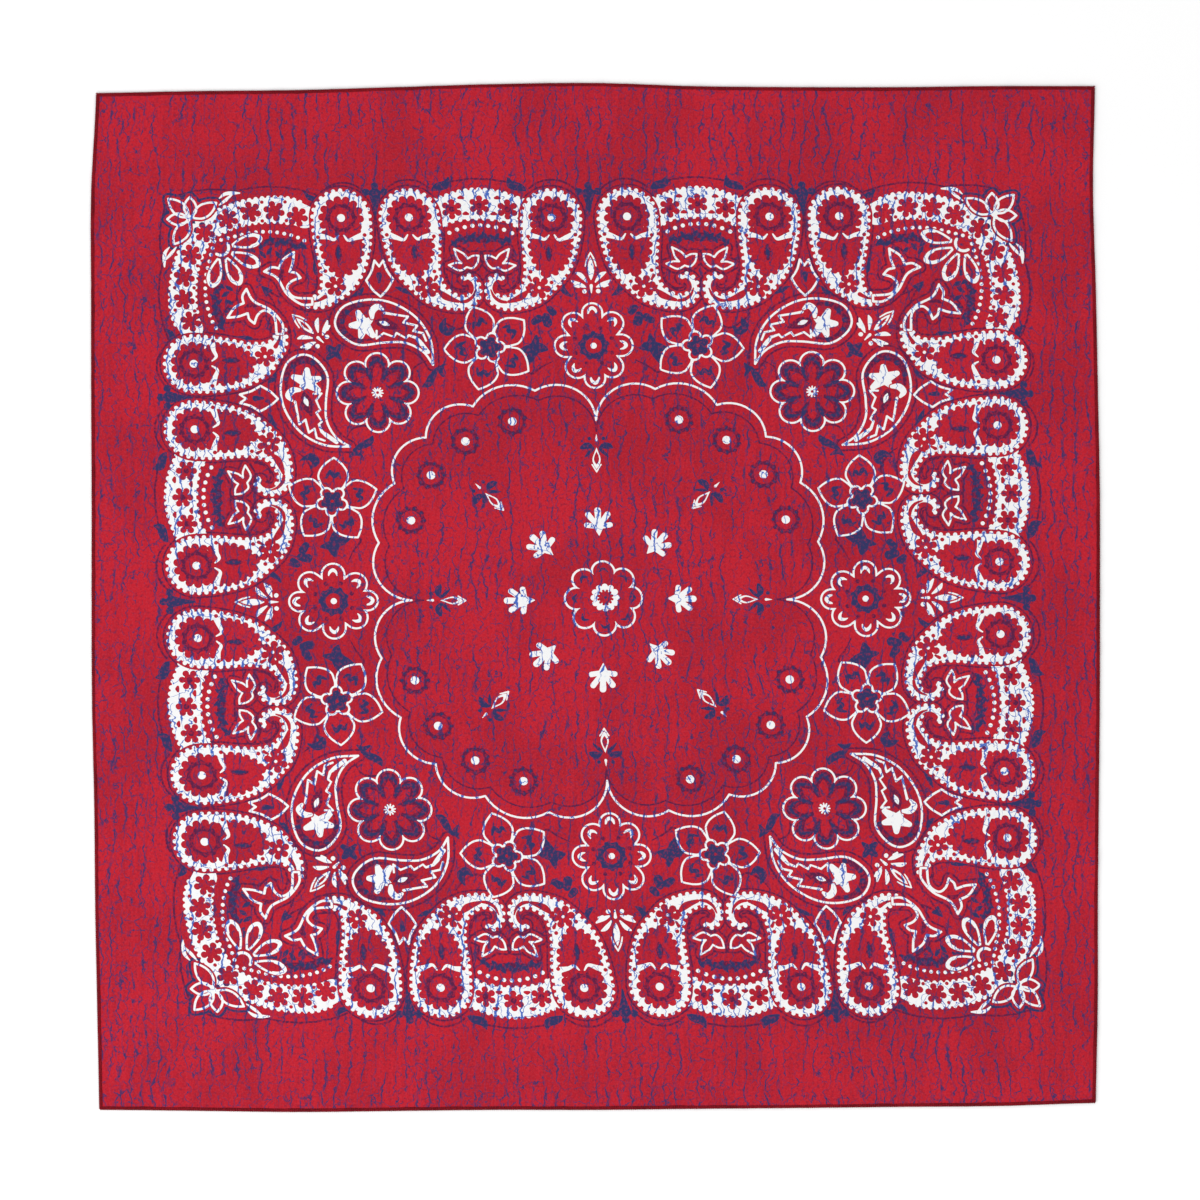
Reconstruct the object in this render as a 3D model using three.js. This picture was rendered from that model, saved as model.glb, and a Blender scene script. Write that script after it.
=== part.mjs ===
// A square bandana of thin printed cotton, laid flat, with its four edges overlocked.
// Millimetres: +X to the right, +Y away, +Z up. The origin is under the middle of the cloth.

import * as THREE from 'three';

// Driving dimensions
const CLOTH_TOP = 1.5;         // height of the cloth's upper side where it lies smooth
const CLOTH_LEAST = 1.0;       // the wall is never thinner than this
const HEM_WIDTH = 1.8;         // overlocked edge, from the cloth to the outside
const HEM_PROUD = 0.4;         // how far the overlocked edge stands above the cloth
const SEAM_GAP = 0.3;          // between the cloth and its hems, and between hems at a corner
const CLOTH_CELLS = 44;        // cells of the cloth's grid each way
const HEM_CELLS = 36;          // cells along each hem

// The four corners as the cloth lies. It is a little out of square, as a stretched cloth is.
const CORNERS = {
  nearLeft: new THREE.Vector2(-271.3, -280.1),
  nearRight: new THREE.Vector2(273.5, -276.3),
  farLeft: new THREE.Vector2(-273.0, 275.7),
  farRight: new THREE.Vector2(273.0, 279.5),
};

// How far each edge bows outwards from the straight line between its corners. The rows are equal
// steps from the left corner to the right, or from the near corner to the far.
const EDGE_BOWS = [
  { near: 0.0, far: 0.0, left: 0.0, right: 0.0 },
  { near: 0.9, far: 0.7, left: 0.9, right: 1.1 },
  { near: 1.9, far: 0.9, left: 1.8, right: 1.2 },
  { near: 1.7, far: 2.1, left: 2.2, right: 1.8 },
  { near: 1.5, far: 3.4, left: 3.2, right: 2.4 },
  { near: 1.9, far: 3.6, left: 3.3, right: 2.5 },
  { near: 1.7, far: 1.5, left: 3.1, right: 2.5 },
  { near: 1.6, far: 0.6, left: 3.2, right: 1.5 },
  { near: 1.4, far: 0.2, left: 3.1, right: 0.4 },
  { near: 1.3, far: 0.4, left: 2.9, right: -1.1 },
  { near: 0.0, far: 0.0, left: 0.0, right: 0.0 },
];

// Soft creases: the middle of each, the way it runs in degrees from +X, its whole length, the
// distance from its line to where it has died away, and its height, below zero for a trough.
const CREASES = [
  { x: 5, y: 20, turn: 89, length: 500, reach: 26, rise: 0.9 },
  { x: 30, y: -112, turn: 98, length: 170, reach: 24, rise: -0.4 },
  { x: 22, y: 12, turn: 1, length: 500, reach: 22, rise: 0.65 },
  { x: -214, y: -222, turn: -42, length: 120, reach: 22, rise: -0.45 },
  { x: -238, y: -205, turn: -50, length: 150, reach: 30, rise: 0.9 },
  { x: 186, y: -163, turn: 40, length: 130, reach: 22, rise: -0.45 },
  { x: 214, y: -178, turn: 38, length: 150, reach: 24, rise: 0.8 },
  { x: 248, y: -150, turn: 17, length: 90, reach: 20, rise: 0.6 },
  { x: 71, y: 50, turn: -48, length: 90, reach: 22, rise: -0.45 },
  { x: -44, y: -41, turn: -28, length: 80, reach: 22, rise: -0.4 },
  { x: -41, y: 262, turn: 2, length: 220, reach: 26, rise: 0.7 },
  { x: 232, y: 226, turn: -36, length: 130, reach: 26, rise: 0.6 },
  { x: -240, y: 60, turn: 86, length: 200, reach: 22, rise: -0.4 },
  { x: -262, y: -60, turn: 93, length: 150, reach: 22, rise: 0.5 },
  { x: 120, y: -262, turn: 4, length: 180, reach: 24, rise: 0.6 },
];

// Section of an overlocked edge: share of its width from the outside, and share of its height.
const HEM_SECTION = [
  { across: 1.0, up: 0.0 },
  { across: 1.0, up: 0.6 },
  { across: 0.8, up: 0.92 },
  { across: 0.5, up: 1.0 },
  { across: 0.2, up: 0.86 },
  { across: 0.0, up: 0.5 },
  { across: 0.0, up: 0.0 },
];

// Finishes
const PRINTED_COTTON = { color: 0xc42133, roughness: 0.9, metalness: 0 };
const OVERLOCK_THREAD = { color: 0x6e0f1e, roughness: 0.8, metalness: 0 };

// How far an edge bows at a share of its length: a smooth curve through the table's rows.
function bowAt(edge, share) {
  const rows = EDGE_BOWS.map((row, step) => new THREE.Vector2(step, row[edge]));
  return new THREE.SplineCurve(rows).getPoint(share).y;
}

// A point of one edge of the cloth, at a share of its length.
function edgePoint(edge, share) {
  const ends = {
    near: [CORNERS.nearLeft, CORNERS.nearRight],
    far: [CORNERS.farLeft, CORNERS.farRight],
    left: [CORNERS.nearLeft, CORNERS.farLeft],
    right: [CORNERS.nearRight, CORNERS.farRight],
  }[edge];
  const outward = { near: [0, -1], far: [0, 1], left: [-1, 0], right: [1, 0] }[edge];
  const bow = new THREE.Vector2(...outward).multiplyScalar(bowAt(edge, share));
  return ends[0].clone().lerp(ends[1], share).add(bow);
}

// A point of the cloth from its shares across (from the left) and along (from the near side).
// The four edges are blended, and the corners that this counts twice are taken away again.
function clothPoint(across, along) {
  const sides = edgePoint('left', along).lerp(edgePoint('right', along), across);
  const ends = edgePoint('near', across).lerp(edgePoint('far', across), along);
  const near = CORNERS.nearLeft.clone().lerp(CORNERS.nearRight, across);
  const far = CORNERS.farLeft.clone().lerp(CORNERS.farRight, across);
  return sides.add(ends).sub(near.lerp(far, along));
}

// Height of the cloth's upper side: each crease is a rounded ridge or trough that dies away to
// its sides as a squared cosine, and to its ends as one less the square of the share.
function clothHeight(point) {
  let height = CLOTH_TOP;
  for (const crease of CREASES) {
    const turn = THREE.MathUtils.degToRad(crease.turn);
    const dx = point.x - crease.x;
    const dy = point.y - crease.y;
    const lengthways = Math.abs(dx * Math.cos(turn) + dy * Math.sin(turn)) / (crease.length / 2);
    const sideways = Math.abs(dy * Math.cos(turn) - dx * Math.sin(turn)) / crease.reach;
    if (lengthways < 1 && sideways < 1) {
      const ends = (1 - lengthways ** 2) ** 2;
      height += crease.rise * ends * Math.cos((sideways * Math.PI) / 2) ** 2;
    }
  }
  return Math.max(height, CLOTH_LEAST);
}

// Cloth width and length between opposite edges, to turn millimetres into shares.
const CLOTH_WIDTH = edgePoint('left', 0.5).distanceTo(edgePoint('right', 0.5));
const CLOTH_LENGTH = edgePoint('near', 0.5).distanceTo(edgePoint('far', 0.5));

// A closed mesh from its corner points and triangles.
function solid(points, triangles) {
  const geometry = new THREE.BufferGeometry();
  geometry.setAttribute('position', new THREE.Float32BufferAttribute(points.flat(), 3));
  geometry.setIndex(triangles.flat());
  geometry.computeVertexNormals();
  return geometry;
}

// The cloth: a grid of creased points on top, a wall all round, and one flat underside.
function buildPanel() {
  const inset = HEM_WIDTH + SEAM_GAP;
  const acrossInset = inset / CLOTH_WIDTH;
  const alongInset = inset / CLOTH_LENGTH;
  const row = CLOTH_CELLS + 1;
  const points = [];
  const triangles = [];
  for (let j = 0; j < row; j++) {
    const along = THREE.MathUtils.lerp(alongInset, 1 - alongInset, j / CLOTH_CELLS);
    for (let i = 0; i < row; i++) {
      const across = THREE.MathUtils.lerp(acrossInset, 1 - acrossInset, i / CLOTH_CELLS);
      const place = clothPoint(across, along);
      points.push([place.x, place.y, clothHeight(place)]);
    }
  }
  for (let j = 0; j < CLOTH_CELLS; j++) {
    for (let i = 0; i < CLOTH_CELLS; i++) {
      const corner = j * row + i;
      triangles.push([corner, corner + 1, corner + row + 1]);
      triangles.push([corner, corner + row + 1, corner + row]);
    }
  }

  // The rim runs anticlockwise, seen from above, and each of its points has one below it.
  const rim = [];
  for (let k = 0; k < CLOTH_CELLS; k++) {
    rim[k] = k;
    rim[CLOTH_CELLS + k] = k * row + CLOTH_CELLS;
    rim[2 * CLOTH_CELLS + k] = CLOTH_CELLS * row + (CLOTH_CELLS - k);
    rim[3 * CLOTH_CELLS + k] = (CLOTH_CELLS - k) * row;
  }
  const below = points.length;
  rim.forEach((top) => points.push([points[top][0], points[top][1], 0]));
  rim.forEach((top, k) => {
    const next = (k + 1) % rim.length;
    triangles.push([top, below + k, below + next], [top, below + next, rim[next]]);
  });
  const underside = rim.map((top) => new THREE.Vector2(points[top][0], points[top][1]));
  for (const [a, b, c] of THREE.ShapeUtils.triangulateShape(underside, [])) {
    triangles.push([below + a, below + c, below + b]);
  }
  return solid(points, triangles);
}

// An overlocked edge: the section carried along one edge of the cloth, mitred at the corners.
// Each line of the section starts its own distance in from the corner, plus half of the gap.
function buildHem(edge) {
  const lengthways = edge === 'near' || edge === 'far';
  const edgeLength = lengthways ? CLOTH_WIDTH : CLOTH_LENGTH;
  const clothDepth = lengthways ? CLOTH_LENGTH : CLOTH_WIDTH;
  const fromOrigin = edge === 'near' || edge === 'left';
  const ring = HEM_SECTION.length;
  const points = [];
  const triangles = [];
  for (let station = 0; station <= HEM_CELLS; station++) {
    for (const corner of HEM_SECTION) {
      const inward = corner.across * HEM_WIDTH;
      const mitre = (inward + SEAM_GAP / Math.SQRT2) / edgeLength;
      const along = THREE.MathUtils.lerp(mitre, 1 - mitre, station / HEM_CELLS);
      const depth = fromOrigin ? inward / clothDepth : 1 - inward / clothDepth;
      const place = lengthways ? clothPoint(along, depth) : clothPoint(depth, along);
      const top = clothHeight(place) + HEM_PROUD;
      points.push([place.x, place.y, corner.up * top]);
    }
  }
  for (let station = 0; station < HEM_CELLS; station++) {
    for (let k = 0; k < ring; k++) {
      const a = station * ring + k;
      const b = station * ring + ((k + 1) % ring);
      triangles.push([a, b, b + ring], [a, b + ring, a + ring]);
    }
  }
  const last = HEM_CELLS * ring;
  for (let k = 1; k < ring - 1; k++) {
    triangles.push([0, k + 1, k], [last, last + k, last + k + 1]);
  }
  const facesOut = edge === 'near' || edge === 'right';
  return solid(points, facesOut ? triangles : triangles.map(([a, b, c]) => [a, c, b]));
}

// One named piece of the bandana.
function piece(name, geometry, finish) {
  const mesh = new THREE.Mesh(geometry, new THREE.MeshStandardMaterial(finish));
  mesh.name = name;
  return mesh;
}

const bandana = new THREE.Group();
bandana.add(piece('panel', buildPanel(), PRINTED_COTTON));
for (const edge of ['far', 'near', 'left', 'right']) {
  bandana.add(piece(`hem_${edge}`, buildHem(edge), OVERLOCK_THREAD));
}

// The middle of the whole cloth's box goes over the origin.
const middle = new THREE.Box3().setFromObject(bandana).getCenter(new THREE.Vector3());
bandana.position.set(-middle.x, -middle.y, 0);

export default bandana;
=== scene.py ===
"""Looks of a square cotton bandana: a paisley print on creased cloth, with overlocked edges.

The print is drawn as plain shapes in one eighth of its plan, cut into the cloth's own faces, and
turned and mirrored into the whole square. Plan and cloth sizes are millimetres until a mesh is made.
"""

import logging
import math
from dataclasses import dataclass, field, replace
from enum import Enum
from typing import Mapping, Sequence, Union

import bpy
import numpy as np
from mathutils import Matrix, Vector
from mathutils.geometry import delaunay_2d_cdt


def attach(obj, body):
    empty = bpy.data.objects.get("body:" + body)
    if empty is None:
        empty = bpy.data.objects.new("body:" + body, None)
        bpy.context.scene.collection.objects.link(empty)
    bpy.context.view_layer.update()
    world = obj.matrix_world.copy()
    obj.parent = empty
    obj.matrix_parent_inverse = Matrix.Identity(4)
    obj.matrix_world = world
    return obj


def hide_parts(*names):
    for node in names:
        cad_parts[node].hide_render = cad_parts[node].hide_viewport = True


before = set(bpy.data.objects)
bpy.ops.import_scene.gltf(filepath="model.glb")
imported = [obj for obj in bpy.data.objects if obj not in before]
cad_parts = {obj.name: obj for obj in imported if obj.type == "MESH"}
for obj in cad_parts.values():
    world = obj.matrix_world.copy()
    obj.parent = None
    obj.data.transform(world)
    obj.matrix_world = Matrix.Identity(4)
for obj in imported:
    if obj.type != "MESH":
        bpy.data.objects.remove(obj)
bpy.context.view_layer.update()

LOG = logging.getLogger("bandana")
MM = 0.001
FAR = 9.0  # a distance that counts as out of reach of an ink's edge
HAIR = 1e-3  # plan points that are nearer than this are one point
TINY = 1e-12  # keeps a division by a length of nothing apart from zero
GOLDEN = 0.618034  # steps of this share spread evenly over a whole
ARC_STEPS = 8  # points in each radian of an arc
RING_STEPS = 40  # straight limbs in a round line
CAP_STEPS = 24  # points in the round end of a stroke's rim
LOBE_GAP = 0.55  # how far a cut flower's middle stays from its lobes' centres, in lobe radii
STEEPEST = 0.95  # the fastest that a stroke may widen, in half width for each step along it

Knots = Union[np.ndarray, Sequence[Sequence[float]]]
Value = Union[float, Sequence[float], "Wire"]
Colour = tuple[float, ...]


class Ink(Enum):
    """What a face of the cloth is printed with, the first of them lying over the others."""

    WHITE = "white"
    NAVY = "navy"
    FAINT = "faint"
    RED = "red"


INKS = (Ink.WHITE, Ink.NAVY, Ink.FAINT)


class Side(Enum):
    """The four edges of the cloth."""

    NEAR = "near"
    FAR = "far"
    LEFT = "left"
    RIGHT = "right"


def smooth_rows(rows: Knots, at: np.ndarray) -> np.ndarray:
    """Carries a smooth curve through rows, with the end rows doubled.

    Between two rows the curve is the cubic whose slope at each row is half of the step from the
    row before it to the row after it.

    Args:
        rows: the rows, of any number of columns.
        at: where to read, counted in rows from 0.

    Returns:
        One row for each place read.
    """
    table = np.asarray(rows, float)
    last = len(table) - 1
    step = np.clip(np.floor(at), 0, last - 1).astype(int)
    part = (at - step)[:, None]
    before, start, end, after = (table[np.clip(step + k, 0, last)] for k in (-1, 0, 1, 2))
    leave, arrive = (end - before) / 2, (after - start) / 2
    cubic = (2 * start - 2 * end + leave + arrive) * part**3
    square = (3 * end - 3 * start - 2 * leave - arrive) * part**2
    return cubic + square + leave * part + start


def smooth_line(rows: Knots, steps: int = 5) -> np.ndarray:
    """Rows of a smooth curve through knots, with that many steps from knot to knot."""
    return smooth_rows(rows, np.linspace(0, len(rows) - 1, (len(rows) - 1) * steps + 1))


def arc_line(start: Sequence[float], end: Sequence[float], bulge: float, half: float = 0.0) -> np.ndarray:
    """Points of a round arc.

    The arc's radius is (quarter of the chord squared + bulge squared) / (2 bulge).

    Args:
        start: where it starts.
        end: where it ends.
        bulge: how far it stands out to the left of the way from start to end.
        half: half of the line's width.

    Returns:
        Rows of a, b and half width.
    """
    a, b = np.asarray(start, float), np.asarray(end, float)
    chord = b - a
    length = float(np.hypot(*chord))
    radius = (length**2 / 4 + bulge**2) / (2 * bulge)
    left = np.array([-chord[1], chord[0]]) / length
    centre = (a + b) / 2 - left * (radius - bulge)
    first = math.atan2(*(a - centre)[::-1])
    sweep = -4 * math.atan2(2 * bulge, length)
    turn = first + sweep * np.linspace(0, 1, max(6, int(abs(sweep) * ARC_STEPS)))
    size = abs(radius)
    return np.column_stack(
        [centre[0] + size * np.cos(turn), centre[1] + size * np.sin(turn), turn * 0 + half]
    )


@dataclass(frozen=True)
class Shape:
    """A flat shape of the print, made of straight limbs that may taper.

    Attributes:
        limbs: rows of a, b and radius at a limb's start, and again at its end.
        filled: whether the ground that the limbs fence in belongs to the shape.
    """

    limbs: np.ndarray
    filled: bool = False

    @classmethod
    def line(cls, rows: Knots) -> "Shape":
        """A line through rows of a, b and half width."""
        rows = np.asarray(rows, float)
        return cls(np.hstack([rows[:-1], rows[1:]]))

    @classmethod
    def stroke(cls, knots: Knots) -> "Shape":
        """A smooth stroke through knots of a, b and half width."""
        return cls.line(smooth_line(knots))

    @classmethod
    def discs(cls, places: Knots, radius: float) -> "Shape":
        """Discs of one radius at rows of a and b."""
        rows = np.column_stack([np.asarray(places, float)[:, :2], np.full(len(places), radius)])
        return cls(np.hstack([rows, rows]))

    @classmethod
    def outline(cls, places: np.ndarray) -> "Shape":
        """The ground inside a closed line through rows of a and b."""
        rows = np.column_stack([places, np.zeros(len(places))])
        return cls(np.hstack([rows, np.roll(rows, -1, axis=0)]), filled=True)

    @classmethod
    def fence(cls, *stretches: Knots) -> "Shape":
        """The ground inside smooth stretches, with a corner wherever one meets the next."""
        return cls.outline(np.vstack([smooth_line(stretch)[:-1, :2] for stretch in stretches]))

    @classmethod
    def blade(cls, profile: Knots) -> "Shape":
        """A petal or leaf along +b, from rows of distance along it and half width."""
        side = smooth_line([(half, along) for along, half in profile])
        return cls.outline(np.vstack([side, side[::-1] * (-1, 1)]))

    def __add__(self, other: "Shape") -> "Shape":
        """Both shapes together."""
        return Shape(np.vstack([self.limbs, other.limbs]), self.filled)

    def mapped(self, origin: Sequence[float], across: Sequence[float], along: Sequence[float]) -> "Shape":
        """Lays the shape's own axes on two directions.

        Args:
            origin: where the shape's own origin comes.
            across: where its a axis points.
            along: where its b axis points.

        Returns:
            The laid shape.
        """
        limbs = self.limbs.copy()
        for at in (0, 3):
            a, b = self.limbs[:, at], self.limbs[:, at + 1]
            limbs[:, at] = origin[0] + a * across[0] + b * along[0]
            limbs[:, at + 1] = origin[1] + a * across[1] + b * along[1]
        return replace(self, limbs=limbs)

    def placed(self, a: float, b: float, turn: float = 0.0) -> "Shape":
        """The shape turned clockwise by degrees and moved to a place."""
        cos, sin = math.cos(math.radians(turn)), math.sin(math.radians(turn))
        return self.mapped((a, b), (cos, -sin), (sin, cos))

    def mirrored(self, about: float = 0.0) -> "Shape":
        """The shape mirrored about a line of constant a."""
        return self.mapped((2 * about, 0), (-1, 0), (0, 1))

    def around(self, count: int, first: float = 0.0) -> list["Shape"]:
        """Copies turned evenly about the origin, the first by some degrees."""
        return [self.placed(0, 0, first + 360 * k / count) for k in range(count)]


def ring_places(count: int, radius: float, first: float = 0.0) -> np.ndarray:
    """Places evenly round a circle about the origin, the first turned by degrees from +b."""
    turn = np.radians(first) + 2 * np.pi * np.arange(count) / count
    return radius * np.column_stack([np.sin(turn), np.cos(turn)])


def ring_line(radius: float, half: float) -> Shape:
    """A round line about the origin."""
    places = ring_places(RING_STEPS, radius)
    return Shape.line(np.column_stack([np.vstack([places, places[:1]]), np.full(RING_STEPS + 1, half)]))


def even_places(rows: np.ndarray, pitch: float) -> np.ndarray:
    """Spaces places evenly along a line.

    Args:
        rows: rows of a and b along the line.
        pitch: the distance between places, which is stretched to fit the line's length.

    Returns:
        Rows of a and b.
    """
    length = np.concatenate([[0], np.cumsum(np.hypot(*np.diff(rows[:, :2], axis=0).T))])
    at = np.linspace(0, length[-1], max(2, round(length[-1] / pitch) + 1))
    return np.column_stack([np.interp(at, length, rows[:, k]) for k in (0, 1)])


def limb_rim(knots: Knots, grow: float = 0.0) -> np.ndarray:
    """The outline of a smooth stroke, from its last knot along its left side and back.

    A side's point lies off the spine by the radius r, at r' = dr/ds against the way of the
    spine and the square root of 1 - r' squared to its side. The first knot gets a round end.

    Args:
        knots: rows of a, b and half width.
        grow: how far outside the stroke the outline runs.

    Returns:
        Rows of a and b.
    """
    rows = smooth_line(knots)
    way = np.gradient(rows[:, :2], axis=0)
    pace = np.hypot(*way.T)
    way /= pace[:, None]
    lean = np.clip(np.gradient(rows[:, 2]) / pace, -STEEPEST, STEEPEST)[:, None]
    off = np.column_stack([-way[:, 1], way[:, 0]]) * np.sqrt(1 - lean**2)
    radius = rows[:, 2:] + grow
    left = rows[:, :2] + radius * (off - way * lean)
    right = rows[:, :2] - radius * (off + way * lean)
    start, stop = (math.atan2(*(end - rows[0, :2])[::-1]) for end in (left[0], right[0]))
    turn = np.linspace(start, start + (stop - start) % (2 * np.pi), CAP_STEPS)
    cap = rows[0, :2] + radius[0] * np.column_stack([np.cos(turn), np.sin(turn)])
    return np.vstack([left[::-1], cap, right])


@dataclass
class InkField:
    """Signed distances to each ink's edge over one quarter of the plan, below zero inside it.

    Attributes:
        reach: how far the plan reaches from its middle.
        cell: the size of a grid square.
        beyond: how far past a printed edge the distances are kept.
        axis: the grid's places along a and b.
        depth: the distances for each ink, which start at bare red cloth.
    """

    reach: float = 240.0
    cell: float = 0.25
    beyond: float = 2.5
    axis: np.ndarray = field(init=False)
    depth: dict[Ink, np.ndarray] = field(init=False)

    def __post_init__(self) -> None:
        """Starts with bare red cloth."""
        self.axis = np.arange(round(self.reach / self.cell) + 1) * self.cell
        self.depth = {ink: np.full((len(self.axis),) * 2, FAR, np.float32) for ink in INKS}

    def window(self, low: np.ndarray, high: np.ndarray) -> tuple[slice, slice]:
        """Finds the part of the grid that a box covers.

        Args:
            low: the box's lowest a and b.
            high: its highest a and b.

        Returns:
            Slices of a and b.
        """
        first = np.clip(np.floor(low / self.cell), 0, len(self.axis)).astype(int)
        last = np.clip(np.ceil(high / self.cell) + 1, 0, len(self.axis)).astype(int)
        return slice(first[0], last[0]), slice(first[1], last[1])

    def measure(self, shape: Shape, reach: float) -> tuple[tuple[slice, slice], np.ndarray]:
        """Measures the signed distance to a shape.

        The distance to a limb is that to the nearest point of its line, less the radius there.
        A filled shape is negative where a ray along +a crosses its fence an odd number of times.

        Args:
            shape: the shape.
            reach: how far from the shape's edge the distances are wanted.

        Returns:
            The part of the grid, and the distances there.
        """
        limbs = shape.limbs
        starts, ends = limbs[:, :2], limbs[:, 3:5]
        wide = np.maximum(limbs[:, 2], limbs[:, 5])[:, None] + reach
        low, high = np.minimum(starts, ends) - wide, np.maximum(starts, ends) + wide
        part = self.window(low.min(axis=0), high.max(axis=0))
        a, b = self.axis[part[0]][:, None], self.axis[part[1]][None, :]
        away = np.full((a.size, b.size), FAR)
        inside = np.zeros(away.shape, bool)
        for k, (a0, b0, r0, a1, b1, r1) in enumerate(limbs):
            near = self.window(low[k], high[k])
            cut = tuple(slice(n.start - p.start, max(n.stop - p.start, 0)) for n, p in zip(near, part))
            da, db = a1 - a0, b1 - b0
            pa, pb = a[cut[0]] - a0, b[:, cut[1]] - b0
            share = np.clip((pa * da + pb * db) / max(da * da + db * db, TINY), 0, 1)
            gap = np.hypot(pa - share * da, pb - share * db) - (r0 + share * (r1 - r0))
            away[cut] = np.minimum(away[cut], gap)
            if shape.filled and db:
                crosses = ((b >= b0) != (b >= b1)) & (a < a0 + (b - b0) * da / db)
                inside ^= crosses
        return part, np.where(inside, -away, away)

    def paint(self, ink: Ink, *shapes: Shape, line: float = 0.0, grow: float = 0.0) -> None:
        """Prints shapes in one ink, or takes all ink off them where the ink is red.

        Args:
            ink: the ink.
            shapes: the shapes.
            line: the width of a line along the shape's edge, or 0 to print the whole shape.
            grow: how far the shape is grown first.
        """
        for shape in shapes:
            part, away = self.measure(shape, self.beyond + abs(grow) + line)
            away = away - grow
            if line:
                away = np.abs(away) - line / 2
            if ink is Ink.RED:
                for depth in self.depth.values():
                    depth[part] = np.maximum(depth[part], -away)
            else:
                self.depth[ink][part] = np.minimum(self.depth[ink][part], away)

    def read(self, ink: Ink, places: np.ndarray) -> np.ndarray:
        """Reads distances, each blended from the four grid points around its place.

        Args:
            ink: the ink.
            places: rows of a and b.

        Returns:
            The distance at each place.
        """
        at = np.clip(places / self.cell, 0, len(self.axis) - 1.001)
        low = np.floor(at).astype(int)
        (i, j), (u, v) = low.T, (at - low).T
        depth = self.depth[ink]
        near = depth[i, j] * (1 - u) + depth[i + 1, j] * u
        far = depth[i, j + 1] * (1 - u) + depth[i + 1, j + 1] * u
        return near * (1 - v) + far * v


@dataclass(frozen=True)
class Stamp:
    """Prints shapes on a plate, mirrored about a line of constant a where it has one.

    Attributes:
        plate: the ink field that is printed on.
        mirror: the line's a, or None.
    """

    plate: InkField = field(default_factory=InkField)
    mirror: Union[float, None] = None

    def printed(self, ink: Ink, shapes: Sequence[Shape], line: float, grow: float) -> None:
        """Prints shapes in one ink."""
        laid = shapes if self.mirror is None else [shape.mirrored(self.mirror) for shape in shapes]
        self.plate.paint(ink, *laid, line=line, grow=grow)

    def white(self, *shapes: Shape, line: float = 0.0, grow: float = 0.0) -> None:
        """Prints shapes in white."""
        self.printed(Ink.WHITE, shapes, line, grow)

    def navy(self, *shapes: Shape, line: float = 0.0, grow: float = 0.0) -> None:
        """Prints shapes in navy."""
        self.printed(Ink.NAVY, shapes, line, grow)

    def faint(self, *shapes: Shape, line: float = 0.0, grow: float = 0.0) -> None:
        """Prints shapes in faded navy."""
        self.printed(Ink.FAINT, shapes, line, grow)

    def bare(self, *shapes: Shape, line: float = 0.0, grow: float = 0.0) -> None:
        """Takes all ink off shapes."""
        self.printed(Ink.RED, shapes, line, grow)


@dataclass(frozen=True)
class Boteh:
    """A paisley drop: a knobbed band round a scalloped hollow, with a round head.

    Attributes:
        spine: rows of a, b and half width, from the head to the tail's end.
        hollow: rows of a, b and half width of the body's hollow.
        head: the head's centre.
        bare_curl: how many points of the outline have no knobs inside the tail's curl.
        clearing: how far round the drop other ink is taken off.
        head_hollow: the radius of the hollow in the head, which has scallops round it.
        knob: the radius of a knob, at knob_pitch along a line knob_out of the band's edge.
        scallop: the radius of a scallop, at scallop_pitch round the body's hollow.
        shadow: the width of the faint line that runs shadow_gap outside the drop.
        eye: the radius of the dot in the head.
        eye_ring: the radius of the faint ring round it, with petals a little further out.
    """

    spine: Knots
    hollow: Knots
    head: tuple[float, float]
    bare_curl: int = 22
    clearing: float = 2.6
    head_hollow: float = 10.4
    head_scallops: int = 14
    knob_pitch: float = 3.9
    knob: float = 1.15
    knob_out: float = 0.55
    scallop_pitch: float = 4.3
    scallop: float = 1.75
    shadow_gap: float = 3.1
    shadow: float = 1.0
    eye: float = 2.2
    eye_ring: float = 6.9
    eye_petals: int = 10

    def print_on(self, stamp: Stamp) -> None:
        """Prints the drop, from its ground to its head.

        Args:
            stamp: what prints it.
        """
        body = Shape.stroke(self.spine)
        a, b = self.head
        knobs = even_places(limb_rim(self.spine, self.knob_out)[self.bare_curl :], self.knob_pitch)
        stamp.bare(body, grow=self.clearing)
        stamp.faint(body, grow=self.shadow_gap, line=self.shadow)
        stamp.white(body, Shape.discs(knobs, self.knob))
        scallops = even_places(limb_rim(self.hollow), self.scallop_pitch)
        stamp.bare(Shape.stroke(self.hollow), Shape.discs(scallops, self.scallop))
        stamp.bare(Shape.discs(ring_places(self.head_scallops, self.head_hollow, 9) + self.head, 2.1))
        stamp.bare(Shape.discs([self.head], self.head_hollow))
        petals = ring_places(self.eye_petals, self.eye_ring + 0.7, 18) + self.head
        stamp.faint(ring_line(self.eye_ring, 1.0).placed(a, b), Shape.discs(petals, 1.2))
        stamp.white(Shape.discs([self.head], self.eye))
        wings = (
            Shape.stroke([(-12.4, -9.6, 2.0), (-7.4, -11.3, 1.3), (-3.4, -12.6, 0.8), (-1.2, -9.8, 0.4)]),
            Shape.stroke([(12.4, -10.0, 1.8), (7.6, -10.8, 1.1), (4.2, -12.2, 0.8), (1.7, -9.9, 0.4)]),
        )
        stamp.white(*(wing.placed(a, b) for wing in wings))
        stamp.bare(Shape.discs([(-12.4, -9.8), (12.9, -10.6)], 1.1).placed(a, b))
        stamp.faint(Shape.stroke([(2, -24, 0.8), (2, -20, 1.9), (2, -16, 0.8)]).placed(a, b))
        stamp.navy(Shape.stroke([(2, -23, 0.5), (2, -20, 1.1), (2, -16.5, 0.5)]).placed(a, b))


def flower_hole(a: float, b: float, lobes: int, reach: float, lobe: float, turn: float = 0.0) -> Shape:
    """A flower of round lobes about a round middle."""
    ring = ring_places(lobes, reach, turn) + (a, b)
    return Shape.discs(ring, lobe) + Shape.discs([(a, b)], reach - lobe * LOBE_GAP)


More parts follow.
